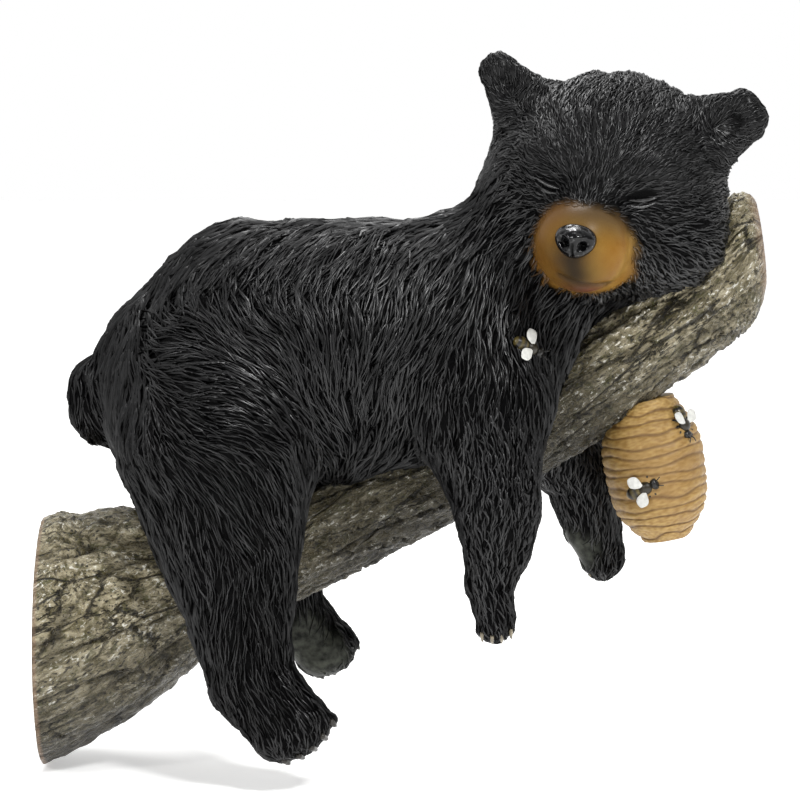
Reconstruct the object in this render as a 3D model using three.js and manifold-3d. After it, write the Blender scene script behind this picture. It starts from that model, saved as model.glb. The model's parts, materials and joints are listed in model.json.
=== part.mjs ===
// A bear cub asleep along a cut branch, with a hive hung under the branch and three bees:
// a painted cast-resin ornament, fixed to a trunk, post or wall by the flat butt of its branch.
// Millimetres, +Z up. The origin is the middle of the butt face. +X runs out along the branch,
// and -Y is the side that the cub's face looks to.
import * as THREE from "three";
import { mergeVertices } from "three/addons/utils/BufferGeometryUtils.js";
import Module from "manifold-3d";

const wasm = await Module();
wasm.setup();

const at = (x, y, z) => new THREE.Vector3(x, y, z);
const degrees = THREE.MathUtils.degToRad;

// Driving dimensions
const headRadius = 51;
const trunkRadius = 61.5; // the torso at its thickest
const trunkFlatness = 0.92; // the torso's width over its height
const buttRadius = 53; // the branch where it is cut off against the trunk
const limbRadius = 25.5; // the branch past its flare
const hiveRadius = 23;
const hiveHeight = 67;
const beeLength = 17;
const gap = 0.3; // kept between pieces that touch

// Mesh steps
const bodyStep = at(7.2, 12.5, 15);
const headStep = at(6.8, 7, 7);
const branchSides = 20;
const branchRings = 24;
const hiveSides = 12;
const weldTolerance = 0.02;
const pinchFill = 0.05;

// Smooth noise from -1 to 1, the same on every run
function noise(p) {
  const corner = (x, y, z) => {
    const s = Math.sin(x * 127.1 + y * 311.7 + z * 74.7) * 43758.5453;
    return (s - Math.floor(s)) * 2 - 1;
  };
  const cell = p.clone().floor();
  const f = p.clone().sub(cell);
  const ease = (t) => t * t * (3 - 2 * t);
  const [u, v, w] = [ease(f.x), ease(f.y), ease(f.z)];
  const mix = THREE.MathUtils.lerp;
  const edge = (y, z) => mix(corner(cell.x, y, z), corner(cell.x + 1, y, z), u);
  const face = (z) => mix(edge(cell.y, z), edge(cell.y + 1, z), v);
  return mix(face(cell.z), face(cell.z + 1), w);
}

// Distances to rounded forms, negative inside
function ellipsoid(centre, radii, turn = new THREE.Quaternion()) {
  const back = turn.clone().invert();
  return (p) => {
    const q = p.clone().sub(centre).applyQuaternion(back).divide(radii);
    const k = q.length();
    return (k * (k - 1)) / Math.max(q.divide(radii).length(), 1e-6);
  };
}

function taperedLimb(a, b, radiusA, radiusB) {
  const axis = b.clone().sub(a);
  const lengthSquared = axis.lengthSq();
  return (p) => {
    const from = p.clone().sub(a);
    const t = THREE.MathUtils.clamp(from.dot(axis) / lengthSquared, 0, 1);
    return from.addScaledVector(axis, -t).length() - THREE.MathUtils.lerp(radiusA, radiusB, t);
  };
}

function chain(joints) {
  const limbs = joints.slice(1).map(([end, r], i) => taperedLimb(joints[i][0], end, joints[i][1], r));
  return (p) => Math.min(...limbs.map((limb) => limb(p)));
}

function melt(a, b, blend) {
  const h = Math.max(blend - Math.abs(a - b), 0) / blend;
  return Math.min(a, b) - (h * h * blend) / 4;
}

// The lie of the fur: straight down a limb, or swept back from the nose over the head
const lieAlong = (x, y, z) => {
  const lie = at(x, y, z).normalize();
  return () => lie;
};
const lieFrom = (point) => (p) => p.clone().sub(point).normalize();

// Height of the fur's locks: ridges drawn out along the lie
function lockRelief(p, lie, fur) {
  const q = p.clone().addScaledVector(lie, p.dot(lie) * (fur.width / fur.length - 1));
  const valley = Math.min(1, lockContrast * Math.abs(noise(q.divideScalar(fur.width))));
  return fur.height * (lockRise - valley);
}

const lockContrast = 2.4;
const lockRise = 0.66; // the share of a lock that stands above the body
const longFur = { height: 4.2, width: 12, length: 80 };
const shortFur = { height: 1.8, width: 11, length: 45 };
const sleekFur = { height: 1.6, width: 11, length: 50 };
const bare = { height: 0, width: 10, length: 10 };

// Head: turned to the near side and laid over on the branch
const headCentre = at(261, -12, 212.4);
const headTurn = new THREE.Quaternion()
  .setFromAxisAngle(at(0, 1, 0), degrees(9))
  .multiply(new THREE.Quaternion().setFromAxisAngle(at(0, 0, 1), degrees(-13)));
const onHead = (x, y, z) => at(x, y, z).applyQuaternion(headTurn).add(headCentre);
const noseTip = onHead(0, -76, -26);

// Ears in the head's own frame: wide at the head, rounded at the tip, flattened front to back
const earFlatness = 0.62; // an ear's depth over its width
const ears = [
  { base: at(-45, -8, 29), tip: at(-61, -8, 43.5), baseRadius: 17, tipRadius: 11.5 },
  { base: at(40, -8, 30), tip: at(53.5, -8, 40), baseRadius: 19, tipRadius: 14 },
];
const cupShare = 0.7; // where the cup sits from base to tip
const cupWidth = 0.62; // the cup's radius over the ear's
const cupDepth = 6;

function earDistance(ear) {
  const back = headTurn.clone().invert();
  const flatten = at(1, 1 / earFlatness, 1);
  const [base, tip] = [ear.base, ear.tip].map((end) => end.clone().multiply(flatten));
  const round = taperedLimb(base, tip, ear.baseRadius, ear.tipRadius);
  return (p) => round(p.clone().sub(headCentre).applyQuaternion(back).multiply(flatten));
}

function cupDistance(ear) {
  const radius = THREE.MathUtils.lerp(ear.baseRadius, ear.tipRadius, cupShare);
  const middle = ear.base.clone().lerp(ear.tip, cupShare);
  middle.y -= radius * earFlatness + cupDepth / 3;
  return ellipsoid(onHead(...middle.toArray()), at(radius * cupWidth, cupDepth, radius * cupWidth), headTurn);
}

function headParts() {
  const fromNose = lieFrom(noseTip);
  const parts = [
    {
      distance: ellipsoid(headCentre, at(headRadius * 1.04, headRadius, headRadius * 0.985), headTurn),
      blend: 12, fur: shortFur, lie: fromNose,
    },
    {
      distance: taperedLimb(onHead(0, -24, -22), onHead(0, -53, -28), 28, 21.5),
      blend: 13, fur: bare, lie: fromNose,
    },
    {
      distance: ellipsoid(onHead(0, -69, -24.5), at(10, 8, 8), headTurn),
      blend: 2, fur: bare, lie: fromNose,
    },
  ];
  for (const side of [-1, 1]) {
    const cheek = ellipsoid(onHead(side * 31, -4, -20), at(25, 28, 24), headTurn);
    const brow = ellipsoid(onHead(side * 18, -36, 10), at(16, 12, 9), headTurn);
    parts.push(
      { distance: cheek, blend: 12, fur: shortFur, lie: fromNose },
      { distance: brow, blend: 10, fur: shortFur, lie: fromNose },
    );
  }
  for (const ear of ears) parts.push({ distance: earDistance(ear), blend: 10, fur: bare, lie: fromNose });
  return parts;
}

// Hollows: the ears' cups and the eye sockets
function headHollows() {
  const hollows = ears.map((ear) => ({ distance: cupDistance(ear), blend: 6 }));
  for (const side of [-1, 1]) {
    const socket = ellipsoid(onHead(side * 21.7, -51, -3.7), at(9, 6, 5), headTurn);
    hollows.push({ distance: socket, blend: 5 });
  }
  return hollows;
}

// Torso: rump, belly and chest along the top of the branch, and the neck up to the head
function torsoParts() {
  const round = chain([
    [at(74.5, 0, 120), trunkRadius * 0.81],
    [at(101, 0, 136), trunkRadius * 0.95],
    [at(133, 0, 132.5), trunkRadius],
    [at(192, 0, 138.5), trunkRadius * 0.91],
  ]);
  const flattened = (p) => round(at(p.x, p.y / trunkFlatness, p.z));
  return [
    { distance: flattened, blend: 14, fur: longFur, lie: lieAlong(-0.3, 0, -1) },
    {
      distance: taperedLimb(at(202, -2, 156), at(250, -9, 194), 40, 40),
      blend: 14, fur: longFur, lie: lieAlong(-0.5, 0, -1),
    },
    {
      distance: ellipsoid(at(225, -2, 212), at(20, 32, 25)),
      blend: 12, fur: shortFur, lie: lieAlong(-0.5, 0, -1),
    },
    {
      distance: ellipsoid(at(26, 0, 111), at(14, 12, 21)),
      blend: 10, fur: sleekFur, lie: lieAlong(-0.2, 0, -1),
    },
  ];
}

// Legs: each hangs down past its own side of the branch, and ends in a paw
const hindLegs = [
  {
    hip: at(82, -30, 107),
    joints: [
      [at(83, -40, 92), 44], [at(94.5, -56, 10), 21.5],
      [at(98.5, -57, -8), 20], [at(111.5, -59, -23), 17.5],
    ],
    paw: { centre: at(117.5, -60, -30), radii: at(18.5, 16, 12.5) },
  },
  {
    hip: at(84, 30, 108),
    joints: [
      [at(91, 40, 86), 40], [at(108, 50, 14), 19],
      [at(112, 50, 5), 17.5], [at(126, 53, -11), 14],
    ],
    paw: { centre: at(130, 54, -14.5), radii: at(15.5, 14, 12) },
  },
];
const foreLegs = [
  {
    shoulder: at(199, -29, 122),
    joints: [
      [at(201, -36, 112), 31], [at(208, -50, 72), 20.5], [at(208, -51, 49), 15.8],
      [at(204.8, -52, 33), 12.2], [at(207.2, -54, 17), 10],
    ],
  },
  {
    shoulder: at(202, 29, 122),
    joints: [
      [at(211, 34, 112), 29], [at(251, 42, 73), 17.5],
      [at(256, 46, 46), 14], [at(261.5, 48, 30.5), 10.5],
    ],
  },
];

const hipRadii = at(46, 34, 50);
const shoulderRadii = at(36, 27, 42);
const pawTurn = new THREE.Quaternion().setFromAxisAngle(at(0, 1, 0), degrees(-29));

function legParts() {
  const parts = [];
  for (const leg of hindLegs) {
    const paw = ellipsoid(leg.paw.centre, leg.paw.radii, pawTurn);
    parts.push(
      { distance: ellipsoid(leg.hip, hipRadii), blend: 12, fur: longFur, lie: lieAlong(0.8, 0, -0.6) },
      { distance: chain(leg.joints), blend: 10, fur: longFur, lie: lieAlong(0.1, 0, -1) },
      { distance: paw, blend: 6, fur: sleekFur, lie: lieAlong(0.5, 0, -1) },
    );
  }
  for (const leg of foreLegs) {
    parts.push(
      { distance: ellipsoid(leg.shoulder, shoulderRadii), blend: 12, fur: longFur, lie: lieAlong(0.2, 0, -1) },
      { distance: chain(leg.joints), blend: 9, fur: sleekFur, lie: lieAlong(0.05, 0, -1) },
    );
  }
  return parts;
}

const bearParts = [...torsoParts(), ...legParts(), ...headParts()];
const bearHollows = headHollows();
const reliefFade = 7; // how far a part's fur runs on into its neighbour

function bearSmooth(p) {
  let d = bearParts.reduce((sum, part) => melt(sum, part.distance(p), part.blend), 1e3);
  for (const hollow of bearHollows) d = -melt(-d, hollow.distance(p), hollow.blend);
  return d;
}

function bearRelief(p) {
  const distances = bearParts.map((part) => part.distance(p));
  const nearest = Math.min(...distances);
  let height = 0;
  let total = 0;
  bearParts.forEach((part, i) => {
    const weight = Math.exp((nearest - distances[i]) / reliefFade);
    if (weight < 0.02) return;
    total += weight;
    height += weight * lockRelief(p, part.lie(p), part.fur);
  });
  return height / total;
}

const bearField = (p) => bearSmooth(p) - bearRelief(p);

function slope(field, p, step = 0.4) {
  const along = (x, y, z) => field(p.clone().add(at(x, y, z))) - field(p.clone().sub(at(x, y, z)));
  return at(along(step, 0, 0), along(0, step, 0), along(0, 0, step)).divideScalar(2 * step);
}

// Moves a point onto the surface of a field, no further than a limit
function settle(field, start, limit) {
  const p = start.clone();
  for (let i = 0; i < 4; i++) {
    const g = slope(field, p);
    p.addScaledVector(g, -field(p) / Math.max(g.lengthSq(), 0.2));
  }
  return p.distanceTo(start) < limit ? p : start;
}

// Grid lines from low to high, with a step that depends on the place
function gridLines(low, high, stepAt) {
  const lines = [low];
  while (lines.at(-1) < high) lines.push(lines.at(-1) + stepAt(lines.at(-1)));
  return lines;
}

// Fills grid corners where the surface would touch itself along an edge or at a point
function fillPinches(values, index, counts) {
  const inside = (n) => values[n] < 0;
  const fill = (n) => {
    values[n] = -pinchFill;
    return true;
  };
  const faces = [[0, 1, 3, 2], [0, 1, 5, 4], [0, 2, 6, 4]];
  const diagonals = [[0, 7], [1, 6], [2, 5], [3, 4]];
  const mendFace = (c) => {
    const [a, b, d, e] = c;
    if (inside(a) !== inside(d) || inside(b) !== inside(e) || inside(a) === inside(b)) return false;
    return fill(inside(a) ? b : a);
  };
  const mendCell = (c) => {
    const outer = c.filter((n) => !inside(n));
    const [a, b] = outer;
    if (outer.length === 2) return diagonals.some(([m, n]) => c[m] === a && c[n] === b) && fill(a);
    if (outer.length !== 6) return false;
    const pair = c.map((n, i) => i).filter((i) => inside(c[i]));
    return diagonals.some(([m, n]) => pair[0] === m && pair[1] === n) && fill(a);
  };
  let mended = true;
  while (mended) {
    mended = false;
    for (let k = 0; k < counts.z - 1; k++) {
      for (let j = 0; j < counts.y - 1; j++) {
        for (let i = 0; i < counts.x - 1; i++) {
          const c = [...Array(8).keys()].map((n) => index(i + (n & 1), j + ((n >> 1) & 1), k + (n >> 2)));
          for (const face of faces) mended = mendFace(face.map((n) => c[n])) || mended;
          mended = mendCell(c) || mended;
        }
      }
    }
  }
}

// A closed mesh of a field's zero surface: one point in each grid cell that the surface crosses
function skin(field, xs, ys, zs) {
  const index = (i, j, k) => (k * ys.length + j) * xs.length + i;
  const values = new Float64Array(xs.length * ys.length * zs.length);
  zs.forEach((z, k) => ys.forEach((y, j) => xs.forEach((x, i) => {
    values[index(i, j, k)] = field(at(x, y, z));
  })));
  fillPinches(values, index, at(xs.length, ys.length, zs.length));
  const inside = (i, j, k) => values[index(i, j, k)] < 0;
  const corners = [...Array(8).keys()].map((c) => [c & 1, (c >> 1) & 1, c >> 2]);
  const points = [];
  const pointOf = new Map();

  function cellPoint(i, j, k) {
    const key = index(i, j, k);
    if (pointOf.has(key)) return pointOf.get(key);
    const middle = at(0, 0, 0);
    let crossings = 0;
    for (const a of corners) {
      for (let axis = 0; axis < 3; axis++) {
        if (a[axis]) continue;
        const b = a.map((c, n) => c + (n === axis ? 1 : 0));
        const va = values[index(i + a[0], j + a[1], k + a[2])];
        const vb = values[index(i + b[0], j + b[1], k + b[2])];
        if (va < 0 === vb < 0) continue;
        const start = at(xs[i + a[0]], ys[j + a[1]], zs[k + a[2]]);
        const end = at(xs[i + b[0]], ys[j + b[1]], zs[k + b[2]]);
        middle.add(start.lerp(end, va / (va - vb)));
        crossings++;
      }
    }
    points.push(settle(field, middle.divideScalar(crossings), headStep.x / 2));
    pointOf.set(key, points.length - 1);
    return points.length - 1;
  }

  const triangles = [];
  function addQuad(quad, flipped) {
    const [a, b, c, d] = flipped ? quad.reverse() : quad;
    const span = (m, n) => points[m].distanceToSquared(points[n]);
    if (span(a, c) < span(b, d)) triangles.push(a, b, c, a, c, d);
    else triangles.push(b, c, d, b, d, a);
  }
  for (let k = 1; k < zs.length - 1; k++) {
    for (let j = 1; j < ys.length - 1; j++) {
      for (let i = 1; i < xs.length - 1; i++) {
        const here = inside(i, j, k);
        if (here !== inside(i + 1, j, k)) {
          addQuad([[0, 0], [-1, 0], [-1, -1], [0, -1]].map(([b, c]) => cellPoint(i, j + b, k + c)), !here);
        }
        if (here !== inside(i, j + 1, k)) {
          addQuad([[0, 0], [0, -1], [-1, -1], [-1, 0]].map(([a, c]) => cellPoint(i + a, j, k + c)), !here);
        }
        if (here !== inside(i, j, k + 1)) {
          addQuad([[0, 0], [-1, 0], [-1, -1], [0, -1]].map(([a, b]) => cellPoint(i + a, j + b, k)), !here);
        }
      }
    }
  }
  const geometry = new THREE.BufferGeometry().setFromPoints(points);
  return geometry.setIndex(triangles);
}

// Solids for joining and cutting, and back
function toSolid(geometry) {
  const bareGeometry = geometry.clone();
  bareGeometry.deleteAttribute("normal");
  bareGeometry.deleteAttribute("uv");
  const merged = mergeVertices(bareGeometry, weldTolerance / 20);
  const vertProperties = new Float32Array(merged.attributes.position.array);
  const triVerts = new Uint32Array(merged.index.array);
  return new wasm.Manifold(new wasm.Mesh({ numProp: 3, vertProperties, triVerts }));
}

function toGeometry(solid) {
  const mesh = solid.getMesh();
  const geometry = new THREE.BufferGeometry();
  geometry.setAttribute("position", new THREE.BufferAttribute(mesh.vertProperties, 3));
  geometry.setIndex(new THREE.BufferAttribute(mesh.triVerts, 1));
  return withoutSlivers(mergeVertices(geometry, weldTolerance));
}

// Leaves out triangles whose corners were merged
function withoutSlivers(geometry) {
  const kept = [];
  for (let i = 0; i < geometry.index.count; i += 3) {
    const [a, b, c] = [0, 1, 2].map((n) => geometry.index.getX(i + n));
    if (a !== b && b !== c && c !== a) kept.push(a, b, c);
  }
  return geometry.setIndex(kept);
}

// Branch: a flared limb that bends upwards to a worn, upright saw cut
const branchLine = new THREE.CatmullRomCurve3([
  at(0, 0, 0), at(42, 0, 17), at(95, 0, 37), at(155, 0, 66.5),
  at(210, 0, 95), at(256, 0, 125), at(294, 0, 154), at(329.5, 0, 184),
]);
const flareLength = 0.34; // share of the branch's length
const flarePower = 1.5;
const tipWear = 0.035; // share of the branch's length that is rounded over at the tip
const tipRounding = 0.55;
const buttCut = 0.12; // share of the length over which the rings turn upright at the butt
const tipCut = 0.14;
const tipUpright = 0.8; // how far the rings turn upright at the tip
const barkFurrows = 9;
const barkDepth = 2.4;
const furrowDrift = 3;
const swellRise = 6; // a low swelling on top of the butt, beside the thigh
const swellPlace = 0.14; // share of the branch's length
const swellLength = 0.055;
const swellSpread = 0.6; // radians round the branch

function branchRadius(t) {
  const flare = Math.pow(1 - THREE.MathUtils.smoothstep(t, 0, flareLength), flarePower);
  const worn = Math.max(0, (t - 1 + tipWear) / tipWear);
  return (limbRadius + (buttRadius - limbRadius) * flare) * Math.sqrt(1 - tipRounding * worn * worn);
}

function barkRelief(angle, t) {
  const drift = furrowDrift * noise(at(7 * t, 2, 5));
  const furrow = Math.abs(Math.sin((barkFurrows * angle) / 2 + drift));
  const plates = noise(at(3 * Math.cos(angle), 3 * Math.sin(angle), 14 * t));
  const swell = Math.exp(-(((t - swellPlace) / swellLength) ** 2) - (angle / swellSpread) ** 2);
  return barkDepth * (furrow - 0.6 + 0.5 * plates) + swellRise * swell;
}

function branchGeometry(grow) {
  const geometry = new THREE.CylinderGeometry(1, 1, 1, branchSides, branchRings);
  const position = geometry.attributes.position;
  for (let i = 0; i < position.count; i++) {
    const t = position.getY(i) + 0.5;
    const out = Math.hypot(position.getX(i), position.getZ(i));
    const angle = Math.atan2(position.getX(i), position.getZ(i));
    const tangent = branchLine.getTangentAt(t);
    const atButt = 1 - THREE.MathUtils.smoothstep(t, 0, buttCut);
    const atTip = THREE.MathUtils.smoothstep(t, 1 - tipCut, 1) * tipUpright;
    const facing = tangent.clone().lerp(at(1, 0, 0), atButt + atTip).normalize();
    const rise = at(-facing.z, 0, facing.x);
    const radius = out * (branchRadius(t) + barkRelief(angle, t) + grow);
    const point = branchLine.getPointAt(t);
    point.addScaledVector(at(0, -1, 0), radius * Math.sin(angle));
    point.addScaledVector(rise, (radius * Math.cos(angle)) / facing.dot(tangent));
    position.setXYZ(i, point.x, point.y, point.z);
  }
  return geometry;
}

// Hive: a barrel of straw coils, hung with its foot swung out along the branch
const hiveCentre = at(282.5, 0, 79.5);
const hiveTilt = degrees(-10);
const hiveCoils = 14;
const coilDepth = 1.3;

const hiveBarrel = new THREE.SplineCurve([
  new THREE.Vector2(0.46, 0.02), new THREE.Vector2(0.92, 0.26), new THREE.Vector2(1, 0.48),
  new THREE.Vector2(0.99, 0.7), new THREE.Vector2(0.6, 1),
]);

function hiveGeometry() {
  const steps = hiveCoils * 2;
  const outline = [new THREE.Vector2(0, -hiveHeight / 2)];
  for (let i = 0; i <= steps; i++) {
    const barrel = hiveBarrel.getPoint(i / steps);
    const groove = i % 2 ? 0 : coilDepth;
    outline.push(new THREE.Vector2(hiveRadius * barrel.x - groove, hiveHeight * (barrel.y - 0.5)));
  }
  outline.push(new THREE.Vector2(0, hiveHeight / 2));
  const geometry = new THREE.LatheGeometry(outline, hiveSides);
  geometry.rotateX(Math.PI / 2);
  geometry.rotateY(hiveTilt);
  return geometry.translate(...hiveCentre.toArray());
}

// Bee: head, thorax and tail in a row, with two wings spread over them
function beeGeometry(grow) {
  const ball = (x, y, z, rx, ry, rz, turn = 0) => {
    const geometry = new THREE.SphereGeometry(1, 6, 3);
    geometry.scale(rx + grow, ry + grow, rz + grow);
    geometry.rotateZ(turn);
    return toSolid(geometry.translate(x, y, z));
  };
  const l = beeLength;
  let bee = ball(0, 0, 0, 0.2 * l, 0.16 * l, 0.16 * l);
  bee = bee.add(ball(0.28 * l, 0, 0, 0.13 * l, 0.13 * l, 0.13 * l));
  bee = bee.add(ball(-0.32 * l, 0, 0, 0.24 * l, 0.17 * l, 0.16 * l));
  for (const side of [-1, 1]) {
    const spread = degrees(180 - side * 46);
    bee = bee.add(ball(-0.14 * l, side * 0.19 * l, 0.12 * l, 0.28 * l, 0.13 * l, 0.06 * l, spread));
  }
  return bee;
}

// Where each bee sits: a point in front of it, the way its head points, and what it sits on
const beeHeight = beeLength * 0.1;

function beePlace(field, front, heading) {
  const p = front.clone();
  for (let i = 0; i < 60; i++) p.y += Math.max(field(p), 0.05) * 0.8;
  const out = slope(field, p, 3).normalize();
  const ahead = heading.clone().addScaledVector(out, -heading.dot(out)).normalize();
  const across = out.clone().cross(ahead);
  return new THREE.Matrix4().makeBasis(ahead, across, out).setPosition(p.addScaledVector(out, beeHeight));
}

const hiveSwing = new THREE.Quaternion().setFromAxisAngle(at(0, 1, 0), hiveTilt);
const hiveField = ellipsoid(hiveCentre, at(hiveRadius, hiveRadius, hiveHeight * 0.62), hiveSwing);
const bees = {
  bee_on_chest: { host: "bear", place: beePlace(bearField, at(222, -140, 139.5), at(1, 0, -0.3)) },
  bee_on_hive_top: { host: "hive", place: beePlace(hiveField, at(293, -80, 101), at(0.1, 0, -1)) },
  bee_on_hive_side: { host: "hive", place: beePlace(hiveField, at(277, -80, 74), at(1, 0, 0.5)) },
};

const beeSolid = (bee, grow) => beeGeometry(grow).transform(bee.place.toArray());

function beesOn(host) {
  return Object.values(bees).filter((bee) => bee.host === host).map((bee) => beeSolid(bee, gap));
}

function bearSolid() {
  const xs = gridLines(2, 348, (x) => (x < headCentre.x - headRadius ? bodyStep.x : headStep.x));
  const ys = gridLines(-108, 96, (y) => (y > headCentre.y ? bodyStep.y : headStep.y));
  const zs = gridLines(-62, 284, (z) => (z < headCentre.z - headRadius ? bodyStep.z : headStep.z));
  const cub = toSolid(skin(bearField, xs, ys, zs));
  const seated = cub.subtract(toSolid(branchGeometry(gap)));
  return beesOn("bear").reduce((solid, bee) => solid.subtract(bee), seated);
}

function hiveSolid() {
  const hive = toSolid(hiveGeometry()).subtract(toSolid(branchGeometry(gap)));
  return beesOn("hive").reduce((solid, bee) => solid.subtract(bee), hive);
}

// Finishes
const finish = (color, roughness) => new THREE.MeshStandardMaterial({ color, roughness, metalness: 0 });
const blackFur = finish(0x262626, 0.5);
const greyBark = finish(0x6b6350, 0.75);
const strawCoil = finish(0xb08c4e, 0.6);
const beeBlack = finish(0x1c1a18, 0.4);

function node(name, geometry, material) {
  const mesh = new THREE.Mesh(geometry, material);
  mesh.name = name;
  return mesh;
}

const sculpture = new THREE.Group();
sculpture.add(node("branch", branchGeometry(0), greyBark));
sculpture.add(node("bear_cub", toGeometry(bearSolid()), blackFur));
sculpture.add(node("beehive", toGeometry(hiveSolid()), strawCoil));
for (const [name, bee] of Object.entries(bees)) {
  sculpture.add(node(name, toGeometry(beeSolid(bee, 0)), beeBlack));
}

export default sculpture;
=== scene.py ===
import json
import math

import bpy
import numpy as np
from mathutils import Matrix, Vector, noise

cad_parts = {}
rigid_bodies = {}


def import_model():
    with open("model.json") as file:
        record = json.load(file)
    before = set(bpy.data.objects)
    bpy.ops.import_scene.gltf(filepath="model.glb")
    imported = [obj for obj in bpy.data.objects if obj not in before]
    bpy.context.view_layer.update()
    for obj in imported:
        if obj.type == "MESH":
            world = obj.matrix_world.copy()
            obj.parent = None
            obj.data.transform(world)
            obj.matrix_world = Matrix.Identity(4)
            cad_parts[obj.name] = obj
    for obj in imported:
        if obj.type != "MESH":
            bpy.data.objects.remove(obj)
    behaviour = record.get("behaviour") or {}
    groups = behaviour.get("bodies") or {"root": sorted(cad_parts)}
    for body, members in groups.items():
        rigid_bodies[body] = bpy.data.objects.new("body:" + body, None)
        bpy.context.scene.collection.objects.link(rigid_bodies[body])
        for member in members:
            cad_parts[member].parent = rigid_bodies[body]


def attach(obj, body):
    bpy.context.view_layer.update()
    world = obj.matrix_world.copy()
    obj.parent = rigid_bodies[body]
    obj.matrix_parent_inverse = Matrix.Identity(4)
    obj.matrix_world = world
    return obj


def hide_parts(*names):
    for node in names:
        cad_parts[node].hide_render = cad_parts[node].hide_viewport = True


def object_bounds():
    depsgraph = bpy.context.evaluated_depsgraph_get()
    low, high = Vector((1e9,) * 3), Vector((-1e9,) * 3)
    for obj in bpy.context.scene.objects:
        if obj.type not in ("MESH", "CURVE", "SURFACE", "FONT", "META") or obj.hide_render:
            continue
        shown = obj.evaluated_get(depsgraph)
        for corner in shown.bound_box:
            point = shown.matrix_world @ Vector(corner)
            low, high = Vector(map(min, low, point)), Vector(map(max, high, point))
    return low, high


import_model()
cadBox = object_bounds()
mm = 0.001
collection = bpy.context.scene.collection
print("frame loaded")


# node helpers: an input takes a fixed value or another node's output

def feed(tree, value, socket):
    if isinstance(value, bpy.types.NodeSocket):
        tree.links.new(value, socket)
    else:
        socket.default_value = value


def addNode(tree, kind, inputs=None, **settings):
    node = tree.nodes.new(kind)
    for key, value in settings.items():
        setattr(node, key, value)
    for key, value in (inputs or {}).items():
        feed(tree, value, node.inputs[key])
    return node


def mixColours(tree, factor, first, second):
    inputs = {0: factor, 6: first, 7: second}
    return addNode(tree, "ShaderNodeMix", inputs, data_type="RGBA").outputs[2]


def calculate(tree, operation, first, second=0.0):
    return addNode(tree, "ShaderNodeMath", {0: first, 1: second}, operation=operation).outputs[0]


def product(tree, *values):
    total = values[0]
    for value in values[1:]:
        total = calculate(tree, "MULTIPLY", total, value)
    return total


def spread(tree, value, low, high, fromLow=0.0, fromHigh=1.0):
    inputs = {"Value": value, "From Min": fromLow, "From Max": fromHigh, "To Min": low, "To Max": high}
    return addNode(tree, "ShaderNodeMapRange", inputs).outputs[0]


# a value kept for each point of the mesh
def zone(tree, name):
    return addNode(tree, "ShaderNodeAttribute", attribute_name=name).outputs["Fac"]


# fine speckle shared by the painted finishes: a mottle value, a fleck mask and a bump height

speckled = {
    "mottleDetail": 5.0,
    "fleckDetail": 2.0,
    "mottleRange": (0.3, 0.7),
    "fleckRange": (0.55, 0.72),
}


def makeSpeckleGroup():
    tree = bpy.data.node_groups.new("paintSpeckle", "ShaderNodeTree")
    for name in ("Mottle Scale", "Fleck Scale"):
        tree.interface.new_socket(name, in_out="INPUT", socket_type="NodeSocketFloat")
    for name in ("Mottle", "Fleck", "Height"):
        tree.interface.new_socket(name, in_out="OUTPUT", socket_type="NodeSocketFloat")
    given = addNode(tree, "NodeGroupInput").outputs
    place = addNode(tree, "ShaderNodeTexCoord").outputs["Object"]

    def grain(scale, detail):
        inputs = {"Vector": place, "Scale": given[scale], "Detail": detail}
        return addNode(tree, "ShaderNodeTexNoise", inputs).outputs[0]

    mottle = grain("Mottle Scale", speckled["mottleDetail"])
    fleck = grain("Fleck Scale", speckled["fleckDetail"])
    addNode(tree, "NodeGroupOutput", {
        "Mottle": spread(tree, mottle, 0, 1, *speckled["mottleRange"]),
        "Fleck": spread(tree, fleck, 0, 1, *speckled["fleckRange"]),
        "Height": calculate(tree, "ADD", mottle, fleck)})
    return tree


speckleGroup = makeSpeckleGroup()


def addSpeckle(tree, scales):
    inputs = {"Mottle Scale": scales[0], "Fleck Scale": scales[1]}
    return addNode(tree, "ShaderNodeGroup", inputs, node_tree=speckleGroup).outputs


# a new material, its tree and its speckle
def newPaint(name, settings):
    material = bpy.data.materials.new(name)
    material.use_nodes = True
    tree = material.node_tree
    return material, tree, addSpeckle(tree, settings["speckle"])


# colour, a roughness between the finish's own limits, and bump
def finishPaint(tree, settings, colour, rough, height):
    strength, distance = settings["bump"]
    bump = addNode(tree, "ShaderNodeBump", {"Strength": strength, "Distance": distance, "Height": height})
    shader = tree.nodes["Principled BSDF"].inputs
    feed(tree, colour, shader["Base Color"])
    feed(tree, spread(tree, rough, *settings["roughness"]), shader["Roughness"])
    feed(tree, bump.outputs[0], shader["Normal"])


# gloss that varies over a dull base
def addCoat(tree, settings, weight):
    shader = tree.nodes["Principled BSDF"].inputs
    shader["Specular IOR Level"].default_value = settings["dullShine"]
    shader["Coat Roughness"].default_value = settings["coatRoughness"]
    shader["Coat IOR"].default_value = settings["coatIor"]
    feed(tree, weight, shader["Coat Weight"])


# camera, floor and light

photoView = {
    "target": (0.1648, 0.0, 0.1118),
    "distance": 1.5,
    "elevation": 6.0,
    "metresPerPixel": 0.00046,
    "pixels": 800,
}

studio = {
    "floorGap": 0.0005,
    "floorSize": 12.0,
    "floorColour": (0.93, 0.93, 0.925, 1),
    "floorRoughness": 0.9,
    "floorGlow": 0.4,
    "white": (1, 1, 1, 1),
    # light of the sky behind and in front, and how far to each side it changes over
    "skyBehind": 1.0,
    "skyInFront": 0.28,
    "skyTurn": 0.3,
    # place, watts, size
    "lamps": [
        ((0.95, -1.5, 1.75), 34, 0.3),
        ((-1.2, -1.4, 1.2), 12, 0.4),
        ((0.1, 0.7, 1.9), 18, 0.7),
    ],
}


def linkObject(name, data):
    thing = bpy.data.objects.new(name, data)
    collection.objects.link(thing)
    return thing


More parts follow.
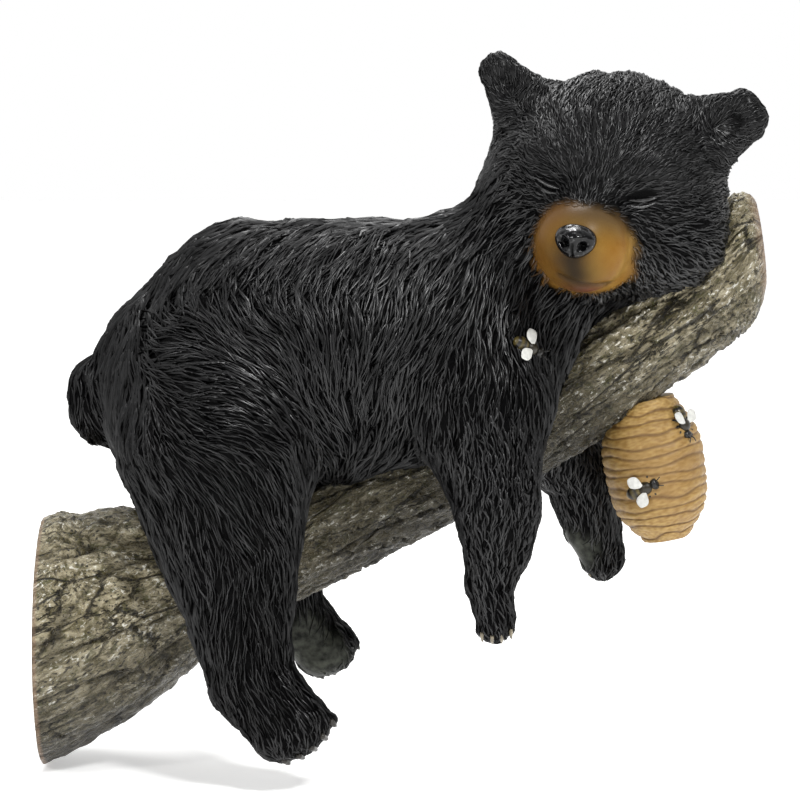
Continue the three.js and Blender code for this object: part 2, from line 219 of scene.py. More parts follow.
def aim(thing, place, target):
    thing.location = place
    thing.rotation_euler = (Vector(target) - Vector(place)).to_track_quat("-Z", "Y").to_euler()


def makeCamera():
    lens = bpy.data.cameras.new("photoCamera")
    halfWidth = photoView["pixels"] / 2 * photoView["metresPerPixel"]
    lens.angle = 2 * math.atan(halfWidth / photoView["distance"])
    camera = linkObject("photoCamera", lens)
    tilt = math.radians(photoView["elevation"])
    away = Vector((0, -math.cos(tilt), math.sin(tilt))) * photoView["distance"]
    aim(camera, Vector(photoView["target"]) + away, photoView["target"])
    bpy.context.scene.camera = camera


def makeFloor():
    half = studio["floorSize"] / 2
    z = cadBox[0][2] - studio["floorGap"]
    corners = [(-half, -half, z), (half, -half, z), (half, half, z), (-half, half, z)]
    mesh = bpy.data.meshes.new("floor")
    mesh.from_pydata(corners, [], [(0, 1, 2, 3)])
    floor = linkObject("floor", mesh)
    paint = bpy.data.materials.new("floorPaint")
    paint.use_nodes = True
    shader = paint.node_tree.nodes["Principled BSDF"].inputs
    shader["Base Color"].default_value = studio["floorColour"]
    shader["Roughness"].default_value = studio["floorRoughness"]
    shader["Emission Color"].default_value = studio["white"]
    shader["Emission Strength"].default_value = studio["floorGlow"]
    mesh.materials.append(paint)


def makeSky():
    world = bpy.data.worlds.new("studio")
    world.use_nodes = True
    tree = world.node_tree
    way = addNode(tree, "ShaderNodeTexCoord").outputs["Generated"]
    back = addNode(tree, "ShaderNodeSeparateXYZ", {0: way}).outputs["Y"]
    turn = studio["skyTurn"]
    light = spread(tree, back, studio["skyInFront"], studio["skyBehind"], -turn, turn)
    background = tree.nodes["Background"].inputs
    background["Color"].default_value = studio["white"]
    feed(tree, light, background["Strength"])
    bpy.context.scene.world = world


def makeLamps():
    for i, (place, watts, size) in enumerate(studio["lamps"]):
        name = "softbox" + str(i)
        lamp = bpy.data.lights.new(name, "AREA")
        lamp.energy = watts
        lamp.size = size
        aim(linkObject(name, lamp), place, photoView["target"])


makeCamera()
makeFloor()
makeSky()
makeLamps()
bpy.context.scene.view_settings.view_transform = "Standard"
print("studio set")


# mesh helpers

def makeObject(name, points, faces):
    mesh = bpy.data.meshes.new(name)
    mesh.from_pydata(points, [], faces)
    mesh.update()
    mesh.shade_smooth()
    return linkObject(name, mesh)


# keeps a number or a vector for each point
def putZone(piece, name, values):
    values = np.asarray(values, np.float32)
    kind, field = ("FLOAT", "value") if values.ndim == 1 else ("FLOAT_VECTOR", "vector")
    piece.data.attributes.new(name, kind, "POINT").data.foreach_set(field, values.ravel())


def vectorsOf(piece, name):
    flat = np.zeros(len(piece.data.vertices) * 3, np.float32)
    piece.data.vertices.foreach_get(name, flat)
    return flat.reshape(-1, 3).astype(float)


def movePoints(piece, points):
    piece.data.vertices.foreach_set("co", (points * mm).astype(np.float32).ravel())
    piece.data.update()


def ramp(values, low, high):
    t = np.clip((np.asarray(values, float) - low) / (high - low), 0, 1)
    return t * t * (3 - 2 * t)


def unit(vectors):
    return vectors / np.maximum(np.linalg.norm(vectors, axis=-1, keepdims=True), 1e-9)


def hump(values, width):
    return np.exp(-(values / width) ** 2)


def wave(turns):
    return 0.5 + 0.5 * np.sin(turns * 2 * math.pi)


def roundAngles(count):
    return np.linspace(0, 2 * math.pi, count, endpoint=False)


# smooth noise; each offset is another pattern
def noiseAt(points, scale, offset=0.0):
    shift = Vector((offset, offset * 1.7, offset * 0.6))
    return np.array([noise.noise(Vector(p) / scale + shift) for p in points])


# a closed skin over a row of rings, with a point at each end and its faces outward
def closedLoft(rings, start, end):
    columns = len(rings[0])
    points = np.vstack([[start]] + list(rings) + [[end]])
    last = len(points) - 1
    faces = []
    for j in range(columns):
        k = (j + 1) % columns
        faces.append((0, 1 + k, 1 + j))
        faces.append((last, last - columns + j, last - columns + k))
    for i in range(len(rings) - 1):
        low, high = 1 + i * columns, 1 + (i + 1) * columns
        for j in range(columns):
            k = (j + 1) % columns
            faces.append((low + j, low + k, high + k, high + j))
    a, b, c = (points[[f[n] for f in faces]] - points.mean(0) for n in range(3))
    if (a * np.cross(b, c)).sum() < 0:
        faces = [f[::-1] for f in faces]
    return points, faces


def ballSurface(centre, radii, rows, columns):
    centre, radii = np.array(centre, float), np.array(radii, float)
    around = roundAngles(columns)
    rings = []
    for i in range(1, rows):
        down = math.pi * i / rows
        ring = np.full((columns, 3), math.cos(down))
        ring[:, 1] = math.sin(down) * np.cos(around)
        ring[:, 2] = math.sin(down) * np.sin(around)
        rings.append(centre + ring * radii)
    pole = np.array([radii[0], 0, 0])
    return closedLoft(rings, centre + pole, centre - pole)


def tubeSurface(path, radii, sides):
    path = np.array(path, float)
    ways = unit(np.gradient(path, axis=0))
    around = roundAngles(sides)
    side = np.cross(ways[0], (0.31, 0.17, 0.93))  # any way that isn't the tube's own
    rings = []
    for p, way, r in zip(path, ways, radii):
        side = unit(side - way * (side @ way))
        other = np.cross(way, side)
        rings.append(p + r * (np.cos(around)[:, None] * side + np.sin(around)[:, None] * other))
    start = path[0] - ways[0] * radii[0] / 2
    return closedLoft(rings, start, path[-1] + ways[-1] * radii[-1] / 2)


# several closed surfaces in one mesh, each with its own zones
def joinSurfaces(name, surfaces):
    points, faces = [], []
    zones = {}
    total = sum(len(surface[0]) for surface in surfaces)
    for corners, polygons, marks in surfaces:
        start = len(points)
        points.extend(corners)
        faces.extend([tuple(start + n for n in f) for f in polygons])
        for key, value in marks.items():
            zones.setdefault(key, np.zeros(total))[start:len(points)] = value
    piece = makeObject(name, np.array(points) * mm, faces)
    for key, values in zones.items():
        putZone(piece, key, values)
    return piece


def finishPiece(piece, material, slot, *nodes):
    piece.data.materials.clear()
    piece.data.materials.append(material)
    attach(piece, "root")
    if nodes:
        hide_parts(*nodes)


# branch: centre line and thickness, in millimetres

limb = {
    "line": [(0, 0), (42, 17), (95, 37), (155, 66.5), (210, 95), (256, 125), (294, 154), (329.5, 184)],
    "buttRadius": 53.0,
    "radius": 25.5,
    "flareLength": 0.34,
    "flarePower": 1.5,
    "tipWear": 0.035,
    "tipRounding": 0.55,
    "lineSteps": 200,
    "rings": 320,
    "sides": 200,
}


# a centripetal curve through the points, stepped evenly along its length
def curveThrough(points, steps, stepsBetween=40):
    p = np.array(points, float)
    p = np.vstack([2 * p[0] - p[1], p, 2 * p[-1] - p[-2]])
    path = []
    for i in range(1, len(p) - 2):
        a, b, c, d = p[i - 1:i + 3]
        k = np.cumsum([0] + [math.sqrt(np.linalg.norm(v)) for v in (b - a, c - b, d - c)])
        for t in np.linspace(k[1], k[2], stepsBetween, endpoint=False):
            def mix(m, n, u, v):
                return m * (v - t) / (v - u) + n * (t - u) / (v - u)
            ab, bc, cd = mix(a, b, k[0], k[1]), mix(b, c, k[1], k[2]), mix(c, d, k[2], k[3])
            path.append(mix(mix(ab, bc, k[0], k[2]), mix(bc, cd, k[1], k[3]), k[1], k[2]))
    path = np.array(path + [p[-2]])
    reach = np.concatenate([[0], np.cumsum(np.linalg.norm(np.diff(path, axis=0), axis=1))])
    even = np.linspace(0, reach[-1], steps)
    return np.stack([np.interp(even, reach, path[:, k]) for k in range(path.shape[1])], 1)


def limbRadius(t):
    flare = (1 - ramp(t, 0, limb["flareLength"])) ** limb["flarePower"]
    worn = np.maximum(0, (t - 1 + limb["tipWear"]) / limb["tipWear"])
    thick = limb["radius"] + (limb["buttRadius"] - limb["radius"]) * flare
    return thick * np.sqrt(1 - limb["tipRounding"] * worn ** 2)


limbLine = curveThrough(limb["line"], limb["lineSteps"])
limbLength = np.linalg.norm(np.diff(limbLine, axis=0), axis=1).sum()
limbSlope = np.gradient(limbLine, axis=0)
limbLean = limbSlope[:, 0] / np.linalg.norm(limbSlope, axis=1)
limbShare = np.linspace(0, 1, len(limbLine))


# distance to the branch, near enough for fitting the fur against it
def limbDistance(p):
    middle, lean, share = (np.interp(p[:, 0], limbLine[:, 0], values)
                           for values in (limbLine[:, 1], limbLean, limbShare))
    return np.hypot((p[:, 2] - middle) * lean, p[:, 1]) - limbRadius(share)


# bear: rounded forms melted together, in millimetres

bear = {
    "trunkRadius": 61.5,
    "trunkFlatness": 0.92,
    # rump to chest: place, share of the trunk's radius
    "trunk": [((74.5, 0, 120), 0.81), ((101, 0, 136), 0.95), ((133, 0, 132.5), 1.0),
              ((192, 0, 138.5), 0.91)],
    "neck": ((202, -2, 156), (250, -9, 194), 40, 40),
    "nape": ((225, -2, 212), (20, 32, 25)),
    "tail": ((26, 0, 111), (14, 12, 21)),
    "headCentre": (261, -12, 212.4),
    "headRadius": 51.0,
    "headShape": (1.04, 1.0, 0.985),
    "headRoll": 9.0,
    "headYaw": -13.0,
    # in the head's own frame; cheek, brow and eye hollow are on both sides
    "muzzle": ((0, -24, -22), (0, -53, -28), 28, 21.5),
    "cheek": ((31, -4, -20), (25, 28, 24)),
    "brow": ((18, -36, 10), (16, 12, 9)),
    "eyeHollow": ((21.7, -51, -3.7), (9, 5.5, 5)),
    "hollowBlend": 5,
    "whorl": (0, -62, -16),
    # base, tip and their radii
    "ears": [((-44.5, -8, 27), (-58, -8, 40.5), 16.5, 10), ((40, -8, 28), (53.5, -8, 37.5), 18.5, 13)],
    "earFlatness": 0.62,
    "cupShare": 0.7,
    "cupWidth": 0.62,
    "cupDepth": 7.5,
    # corners of the grid, its steps, and how far the fine steps reach past the head
    "gridLow": (4, -100, -56),
    "gridHigh": (342, 90, 280),
    "bodyStep": 2.6,
    "faceStep": 1.15,
    "depthStep": 2.0,
    "headMargin": (6, 10),
    "seatDepth": 1.5,
    "furRoom": 0.9,
}

# form: how softly it melts into the rest, length and height of its locks of fur
formCoats = {
    "trunk": (14, 23, 1.5),
    "neck": (14, 15, 1.3),
    "nape": (12, 12, 1.1),
    "tail": (10, 11, 1.0),
    "hip": (12, 24, 1.6),
    "hindLeg": (10, 15, 1.2),
    "hindPaw": (6, 7, 0.6),
    "shoulder": (12, 17, 1.4),
    "foreLeg": (9, 10.5, 0.9),
    "head": (12, 8.5, 0.85),
    "muzzle": (13, 5, 0.4),
    "cheek": (12, 10, 1.0),
    "brow": (10, 6.5, 0.6),
    "ear": (10, 6.5, 0.6),
}

lies = {
    "neck": (-0.45, 0, -1),
    "nape": (-0.5, 0, -1),
    "tail": (-0.2, 0, -1),
    "hindPaw": (0.62, 0, -0.78),
    "foreLeg": (0.03, 0, -1),
    "shoulderDroop": 0.4,
    # flank: where it hangs straight, how soon it sweeps and how far, and the back above it
    "flankMiddle": 140,
    "flankSpread": 62,
    "flankSweep": (-0.38, 0.6),
    "backSweep": -0.3,
    "backStart": (145, 175),
    # haunch: angles below level at heights, and a turn towards the rump
    "haunchHeights": [15, 45, 70, 95, 120, 145, 175],
    "haunchAngles": [84, 74, 60, 40, 22, 14, 32],
    "rumpTurn": 55,
    "rumpEnd": (34, 66),
}


def turnAbout(axis, angle):
    return np.array(Matrix.Rotation(math.radians(angle), 3, axis))


headCentre = np.array(bear["headCentre"])
headTurn = turnAbout("Y", bear["headRoll"]) @ turnAbout("Z", bear["headYaw"])


def onHead(x, y, z):
    return headTurn @ np.array([x, y, z]) + headCentre


# distances to forms, negative inside
def ball(centre, radii, turn=np.eye(3)):
    centre, radii = np.array(centre, float), np.array(radii, float)

    def distance(p):
        q = (p - centre) @ turn / radii
        k = np.sqrt((q * q).sum(1))
        return k * (k - 1) / np.maximum(np.sqrt(((q / radii) ** 2).sum(1)), 1e-6)
    return distance


def taper(a, b, radiusA, radiusB):
    a, axis = np.array(a, float), np.array(b, float) - np.array(a, float)

    def distance(p):
        w = p - a
        t = np.clip(w @ axis / (axis @ axis), 0, 1)
        w = w - t[:, None] * axis
        return np.sqrt((w * w).sum(1)) - (radiusA + (radiusB - radiusA) * t)
    return distance


def chain(joints):
    parts = [taper(a, b, radiusA, radiusB) for (a, radiusA), (b, radiusB) in zip(joints[:-1], joints[1:])]
    return lambda p: np.minimum.reduce([part(p) for part in parts])


def melt(a, b, blend):
    h = np.maximum(blend - np.abs(a - b), 0) / blend
    return np.minimum(a, b) - h * h * blend / 4


# the lie of the fur: along a line, or swept away from a point with some droop
def lieAlong(direction):
    direction = unit(np.array(direction, float))
    return lambda p: np.broadcast_to(direction, p.shape)


def lieFrom(point, droop=0.0):
    point = np.array(point, float)
    return lambda p: unit(unit(p - point) + np.array([0, 0, -droop]))


def flankLie(p):
    onBack = ramp(p[:, 2], *lies["backStart"])
    sweep = np.clip((lies["flankMiddle"] - p[:, 0]) / lies["flankSpread"], *lies["flankSweep"])
    sweep = sweep * (1 - onBack) + lies["backSweep"] * onBack
    return unit(np.stack([sweep, np.zeros(len(p)), -np.ones(len(p))], 1))


def haunchLie(p):
    angle = np.interp(p[:, 2], lies["haunchHeights"], lies["haunchAngles"])
    angle = np.radians(angle + lies["rumpTurn"] * (1 - ramp(p[:, 0], *lies["rumpEnd"])))
    return np.stack([np.cos(angle), np.zeros(len(p)), -np.sin(angle)], 1)


forms = []


def addForm(name, distance, lie):
    blend, lock, lift = formCoats[name]
    forms.append({"distance": distance, "blend": blend, "lie": lie, "lock": lock, "lift": lift})


def addTorso():
    trunk = chain([(place, share * bear["trunkRadius"]) for place, share in bear["trunk"]])
    flat = np.array([1, 1 / bear["trunkFlatness"], 1])
    addForm("trunk", lambda p: trunk(p * flat), flankLie)
    addForm("neck", taper(*bear["neck"]), lieAlong(lies["neck"]))
    for name in ("nape", "tail"):
        addForm(name, ball(*bear[name]), lieAlong(lies[name]))


# legs: the near one, then the far one; joints from top to paw with their radii

legs = {
    "hind": [
        {
            "top": (82, -30, 107),
            "joints": [((83, -40, 92), 44), ((94.5, -56, 10), 21.5), ((98.5, -57, -8), 20),
                       ((111.5, -59, -23), 17.5)],
            "paw": ((117.5, -60, -30), (18.5, 16, 12.5)),
        },
        {
            "top": (84, 30, 108),
            "joints": [((91, 40, 86), 40), ((108, 50, 14), 19), ((112, 50, 5), 17.5), ((126, 53, -11), 14)],
            "paw": ((130, 54, -14.5), (15.5, 14, 12)),
        },
    ],
    "fore": [
        {
            "top": (199, -29, 122),
            "joints": [((201, -36, 112), 31), ((208, -50, 72), 20.5), ((208, -51, 49), 15.4),
                       ((204.6, -52, 33), 11.4), ((207, -54, 17), 9.2)],
        },
        {
            "top": (202, 29, 122),
            "joints": [((211, 34, 112), 29), ((251, 42, 73), 17.5), ((256, 46, 46), 14),
                       ((261.5, 48, 30.5), 10.5)],
        },
    ],
    "hipRadii": (46, 34, 50),
    "shoulderRadii": (36, 27, 42),
    # where the shoulders' fur starts: place along, share of the shoulder's place across, height
    "shoulderCrown": (202, 1.6, 185),
    "pawTurn": -29.0,
    # the soles that show: place, radius, facing
    "soles": [((124, 42, -10), 19.0, (-0.3, -0.9, -0.3)), ((252, 44, 39), 12.0, (-0.8, -0.55, -0.2))],
    "soleEdge": (0.75, 1.2),
    "soleFacing": (0.2, 0.65),
}


def addLegs():
    for leg in legs["hind"]:
        addForm("hip", ball(leg["top"], legs["hipRadii"]), haunchLie)
        addForm("hindLeg", chain(leg["joints"]), haunchLie)
        addForm("hindPaw", ball(*leg["paw"], turnAbout("Y", legs["pawTurn"])), lieAlong(lies["hindPaw"]))
    x, share, z = legs["shoulderCrown"]
    for leg in legs["fore"]:
        crown = (x, leg["top"][1] * share, z)
        addForm("shoulder", ball(leg["top"], legs["shoulderRadii"]), lieFrom(crown, lies["shoulderDroop"]))
        addForm("foreLeg", chain(leg["joints"]), lieAlong(lies["foreLeg"]))


# a ball in the head's frame, on one side of it
def headBall(name, side):
    (x, y, z), radii = bear[name]
    return ball(onHead(side * x, y, z), radii, headTurn)


def addHead():
    away = lieFrom(onHead(*bear["whorl"]))
    addForm("head", ball(headCentre, np.array(bear["headShape"]) * bear["headRadius"], headTurn), away)
    base, tip, baseRadius, tipRadius = bear["muzzle"]
    addForm("muzzle", taper(onHead(*base), onHead(*tip), baseRadius, tipRadius), away)
    for side in (-1, 1):
        for name in ("cheek", "brow"):
            addForm(name, headBall(name, side), away)
    for ear in bear["ears"]:
        addForm("ear", earForm(ear), lieFrom(onHead(*ear[0])))


def earForm(ear):
    base, tip, baseRadius, tipRadius = ear
    flat = np.array([1, 1 / bear["earFlatness"], 1])
    rounded = taper(np.array(base) * flat, np.array(tip) * flat, baseRadius, tipRadius)
    return lambda p: rounded((p - headCentre) @ headTurn * flat)


def earCup(ear):
    base, tip, baseRadius, tipRadius = ear
    share = bear["cupShare"]
    radius = baseRadius + (tipRadius - baseRadius) * share
    middle = np.array(base) + (np.array(tip) - np.array(base)) * share
    middle[1] -= radius * bear["earFlatness"] + bear["cupDepth"] / 3
    width = radius * bear["cupWidth"]
    return ball(onHead(*middle), (width, bear["cupDepth"], width), headTurn)


toes = {
    "spread": {"hind": (0.77, 0.0, 0.64), "fore": (1.0, 0.0, 0.1)},
    "ahead": {"hind": (0.62, -0.1, -0.78), "fore": (0.05, -0.25, -0.96)},
    # leg, near or far, count, radius, step between toes, reach ahead, shift across
    "rows": [("hind", 0, 5, 4.2, 6.7, 9.5, 2.6), ("hind", 1, 5, 3.4, 5.6, 9.0, 1.0),
             ("fore", 0, 4, 2.7, 4.3, 5.4, 0.6), ("fore", 1, 4, 2.6, 4.2, 6.0, 0.0)],
    "fallBack": 0.7,
    "blend": 2.0,
    "bare": (0.3, 2.5),
}


# toe places: centre, radius, way the claw points, kind of leg
def toePlaces():
    places = []
    for kind, index, count, radius, step, reach, shift in toes["rows"]:
        leg = legs[kind][index]
        end = np.array(leg["paw"][0] if "paw" in leg else leg["joints"][-1][0], float)
        across, ahead = np.array(toes["spread"][kind]), np.array(toes["ahead"][kind])
        for i in range(count):
            along = i - (count - 1) / 2
            forward = reach - toes["fallBack"] * along ** 2
            places.append((end + across * (along * step + shift) + ahead * forward, radius, ahead, kind))
    return places


addTorso()
addLegs()
addHead()
hollows = [earCup(ear) for ear in bear["ears"]] + [headBall("eyeHollow", side) for side in (-1, 1)]
toeBalls = [ball(centre, (radius,) * 3) for centre, radius, ahead, kind in toePlaces()]


def bearField(p):
    d = np.full(len(p), 1000.0)
    for form in forms:
        d = melt(d, form["distance"](p), form["blend"])
    for distance in toeBalls:
        d = melt(d, distance(p), toes["blend"])
    for distance in hollows:
        d = -melt(-d, distance(p), bear["hollowBlend"])
    return np.maximum(d + bear["furRoom"], -(limbDistance(p) + bear["seatDepth"]))


def fieldSlope(field, p, step=0.3):
    shifts = np.eye(3) * step
    return np.stack([(field(p + shift) - field(p - shift)) / (2 * step) for shift in shifts], 1)


# moves points along a way, by a share of the distance left each time, until they meet a form
def meet(field, points, way, least=0.0, steps=70, share=0.8):
    p = np.array(points, float)
    for _ in range(steps):
        p += np.maximum(field(p), least)[:, None] * share * np.array(way)
    return p


def gridLines(low, high, turnAt, stepBelow, stepAbove):
    lines = [low]
    while lines[-1] < high:
        lines.append(lines[-1] + (stepBelow if lines[-1] < turnAt else stepAbove))
    return np.array(lines)


# quads of a field's zero surface on a graded grid, one point in each crossed cell
def skinOf(field, xs, ys, zs):
    values = np.zeros((len(xs), len(ys), len(zs)), np.float32)
    gx, gy = np.meshgrid(xs, ys, indexing="ij")
    for k, z in enumerate(zs):
        p = np.stack([gx.ravel(), gy.ravel(), np.full(gx.size, z)], 1)
        values[:, :, k] = field(p).reshape(gx.shape)
    inside = values < 0
    corners = [(i, j, k) for i in (0, 1) for j in (0, 1) for k in (0, 1)]
    count = sum(inside[i:len(xs) - 1 + i, j:len(ys) - 1 + j, k:len(zs) - 1 + k].astype(np.int8)
                for i, j, k in corners)
    ci, cj, ck = np.nonzero((count > 0) & (count < 8))

    def atCorner(corner):
        i, j, k = ci + corner[0], cj + corner[1], ck + corner[2]
        return values[i, j, k], np.stack([xs[i], ys[j], zs[k]], 1)

    total = np.zeros((len(ci), 3))
    crossings = np.zeros(len(ci))
    for axis in range(3):
        for rest in ((0, 0), (0, 1), (1, 0), (1, 1)):
            va, pa = atCorner(np.insert(rest, axis, 0))
            vb, pb = atCorner(np.insert(rest, axis, 1))
            hit = (va < 0) != (vb < 0)
            t = np.where(hit, va / np.where(hit, va - vb, 1), 0)[:, None]
            total += np.where(hit[:, None], pa + (pb - pa) * t, 0)
            crossings += hit
    points = total / crossings[:, None]
    number = np.full(count.shape, -1)
    number[ci, cj, ck] = np.arange(len(ci))
    faces = []
    for axis in range(3):
        low = np.take(inside, range(inside.shape[axis] - 1), axis)
        high = np.take(inside, range(1, inside.shape[axis]), axis)
        i, j, k = np.nonzero(low != high)
        u, v = (axis + 1) % 3, (axis + 2) % 3
        ring = []
        for du, dv in ((0, 0), (-1, 0), (-1, -1), (0, -1)):
            c = np.stack([i, j, k], 1)
            c[:, u] += du
            c[:, v] += dv
            ring.append(number[c[:, 0], c[:, 1], c[:, 2]])
        quads = np.stack(ring, 1)
        outward = low[i, j, k]
        faces.append(np.where(outward[:, None], quads, quads[:, ::-1]))
    for _ in range(2):  # closer onto the surface
        g = fieldSlope(field, points)
        move = field(points) / np.maximum((g * g).sum(1), 0.25)
        points -= g * np.clip(move, -1, 1)[:, None]
    return points, np.vstack(faces)


def makeSkin():
    marginX, marginZ = bear["headMargin"]
    headLeft = headCentre[0] - bear["headRadius"] - marginX
    headLow = headCentre[2] - bear["headRadius"] - marginZ
    body, fine, depth = bear["bodyStep"], bear["faceStep"], bear["depthStep"]
    turns = [(headLeft, body, fine), (0, depth, depth), (headLow, body, fine)]
    box = zip(bear["gridLow"], bear["gridHigh"], turns)
    points, faces = skinOf(bearField, *[gridLines(low, high, *turn) for low, high, turn in box])
    return makeObject("bear_skin", points * mm, faces.tolist())


skin = makeSkin()
print("skin", len(skin.data.vertices), "points")


# face: places across and up the head, in its own frame; the muzzle's tan patch, the eyes and the mouth

face = {
    "patchCentre": (-0.4, -30.0),
    "patchRadii": (22.7, 20.2),
    "patchPower": 2.5,
    "patchSoft": 0.11,
    # share, width and offset of the noise at its edge
    "patchRagged": (0.05, 5.0, 7.7),
    "bald": (0.94, 1.03),
    "patchFront": (30, 38),
    "mouthFront": (42, 48),
    "eye": (21.7, -3.7),
    "socket": (7.3, 3.4),
    "socketEdge": (0.85, 1.1),
    "slitRise": 15.0,
    "lipLine": [(-6.5, -41.8), (-2.7, -42.8), (3.9, -44.2), (9.8, -44.0), (15.5, -42.4)],
    "lipDepth": 1.0,
    "lipWidth": 0.9,
    "cleftShare": 0.2,
    "noseFoot": (1.6, -32.0),
    # painted shadow under the nose: the line it follows and how wide it spreads
    "noseShadowLine": [(-0.6, -34.0), (1.4, -40.0)],
    "noseShadowWidth": 11.0,
    "lowerLip": (6.5, -46.8),
    "lowerLipSize": (9.0, 2.4),
    "bridge": (-28, -12),
    "shadedSide": (-4, 17),
    "chin": (42, 49),
    "chinShade": 0.7,
    # painted light: the fur between the locks is paler over the top of the head, fading out towards the
    # cheeks
    "topLightRise": (-30, 12),
    "topLightShade": 0.7,
    "topLightRidge": 0.42,
    "bareRidge": 0.45,
}


def lineDistance(points, line):
    best = np.full(len(points), 1e3)
    for a, b in zip(line[:-1], line[1:]):
        a, axis = np.array(a), np.array(b) - np.array(a)
        t = np.clip((points - a) @ axis / (axis @ axis), 0, 1)
        best = np.minimum(best, np.linalg.norm(points - a - t[:, None] * axis, axis=1))
    return best


# cuts the mouth and the groove under the nose into the muzzle
def carveMouth(piece):
    p = vectorsOf(piece, "co") / mm
    n = vectorsOf(piece, "normal")
    q = (p - headCentre) @ headTurn
    front = ramp(-q[:, 1], *face["mouthFront"])
    flat = q[:, [0, 2]]
    cleft = [face["noseFoot"], face["lipLine"][2]]
    line = hump(lineDistance(flat, face["lipLine"]), face["lipWidth"])
    dip = face["cleftShare"] * hump(lineDistance(flat, cleft), face["lipWidth"])
    mouth = np.maximum(line, dip) * front
    movePoints(piece, p - n * (face["lipDepth"] * mouth)[:, None])
    # painted shadow cast under the nose
    noseShadow = hump(lineDistance(flat, face["noseShadowLine"]), face["noseShadowWidth"])
    lip = hump(np.linalg.norm((flat - face["lowerLip"]) / face["lowerLipSize"], axis=1), 1.0)
    chin = face["chinShade"] * ramp(-flat[:, 1], *face["chin"])
    putZone(piece, "bridge", ramp(flat[:, 1], *face["bridge"]))
    putZone(piece, "mouth", mouth)
    putZone(piece, "noseShadow", noseShadow * front)
    putZone(piece, "lip", lip * front)
    putZone(piece, "shaded", np.maximum(ramp(-flat[:, 0], *face["shadedSide"]), chin))


# locks of fur: low tapered ridges, set over the skin along its lie and bent to it

locks = {
    "shapes": 7,
    "segments": 4,
    "seed": 4,
    # shape of one lock, drawn at random for each: bend, place of its highest part, lift of its tip
    "bend": 1.7,
    "belly": (0.4, 0.6),
    "tipLift": (-0.1, 0.7),
    "bellyLength": 0.42,
    "rootLift": -0.35,
    "edgeLift": -0.3,
    "outline": (0.75, 0.8),
    "rootRidge": 0.1,
    "leastRidge": 0.4,
    "tipRidge": 0.25,
    # part of the bear, spacing, width over length, darkest and palest lock
    "coats": [("rear", 0.00217, 0.074, 0.0, 0.62), ("front", 0.00217, 0.08, 0.0, 0.72),
              ("legs", 0.00175, 0.155, 0.05, 0.85), ("head", 0.00162, 0.155, 0.25, 0.95)],
    "density": 1200000.0,
    "turn": 0.2,
    "lengths": (0.7, 1.3),
    "widths": (0.75, 1.25),
    "heights": (0.6, 1.3),
    "clumpWidth": 6.0,
    "clumpReach": 15.0,
    "clumpSteps": 9,
    "clumpOffset": 5.3,
    "clumpRise": 0.85,
    "clumpMost": 1.8,
    # bends of the lie: radians, width, offset
    "swings": [(0.5, 24.0, 0.0), (0.25, 9.0, 3.1)],
    "formBlend": 6.0,
    # lock lengths between the short and the long coats, where the rear coat ends, reach of the head's
    "shortLocks": (10.5, 12.5),
    "rearEnd": 150,
    "headReach": 88,
    # distances from the branch where the fur starts
    "clearance": (-0.5, 2.0),
}


# noise drawn out along the lie of the fur
def streaks(p, flow, width, reach):
    steps = np.linspace(-reach, reach, locks["clumpSteps"])
    total = sum(noiseAt(p + flow * step, width, locks["clumpOffset"]) for step in steps)
    return np.clip(total / total.std(), -locks["clumpMost"], locks["clumpMost"])


# the closed eyes' bare sockets
def eyeZone(q):
    eyes = np.zeros(len(q))
    turn = math.radians(face["slitRise"])
    for side in (-1, 1):
        dx, dz = side * q[:, 0] - face["eye"][0], q[:, 2] - face["eye"][1]
        along = (dx * math.cos(turn) + dz * math.sin(turn)) / face["socket"][0]
        across = (dz * math.cos(turn) - dx * math.sin(turn)) / face["socket"][1]
        eyes = np.maximum(eyes, 1 - ramp(np.hypot(along, across), *face["socketEdge"]))
    return eyes


def soleZone(p, n):
    soles = np.zeros(len(p))
    for centre, radius, facing in legs["soles"]:
        near = 1 - ramp(np.linalg.norm(p - np.array(centre), axis=1) / radius, *legs["soleEdge"])
        soles = np.maximum(soles, near * ramp(n @ unit(np.array(facing)), *legs["soleFacing"]))
    return soles


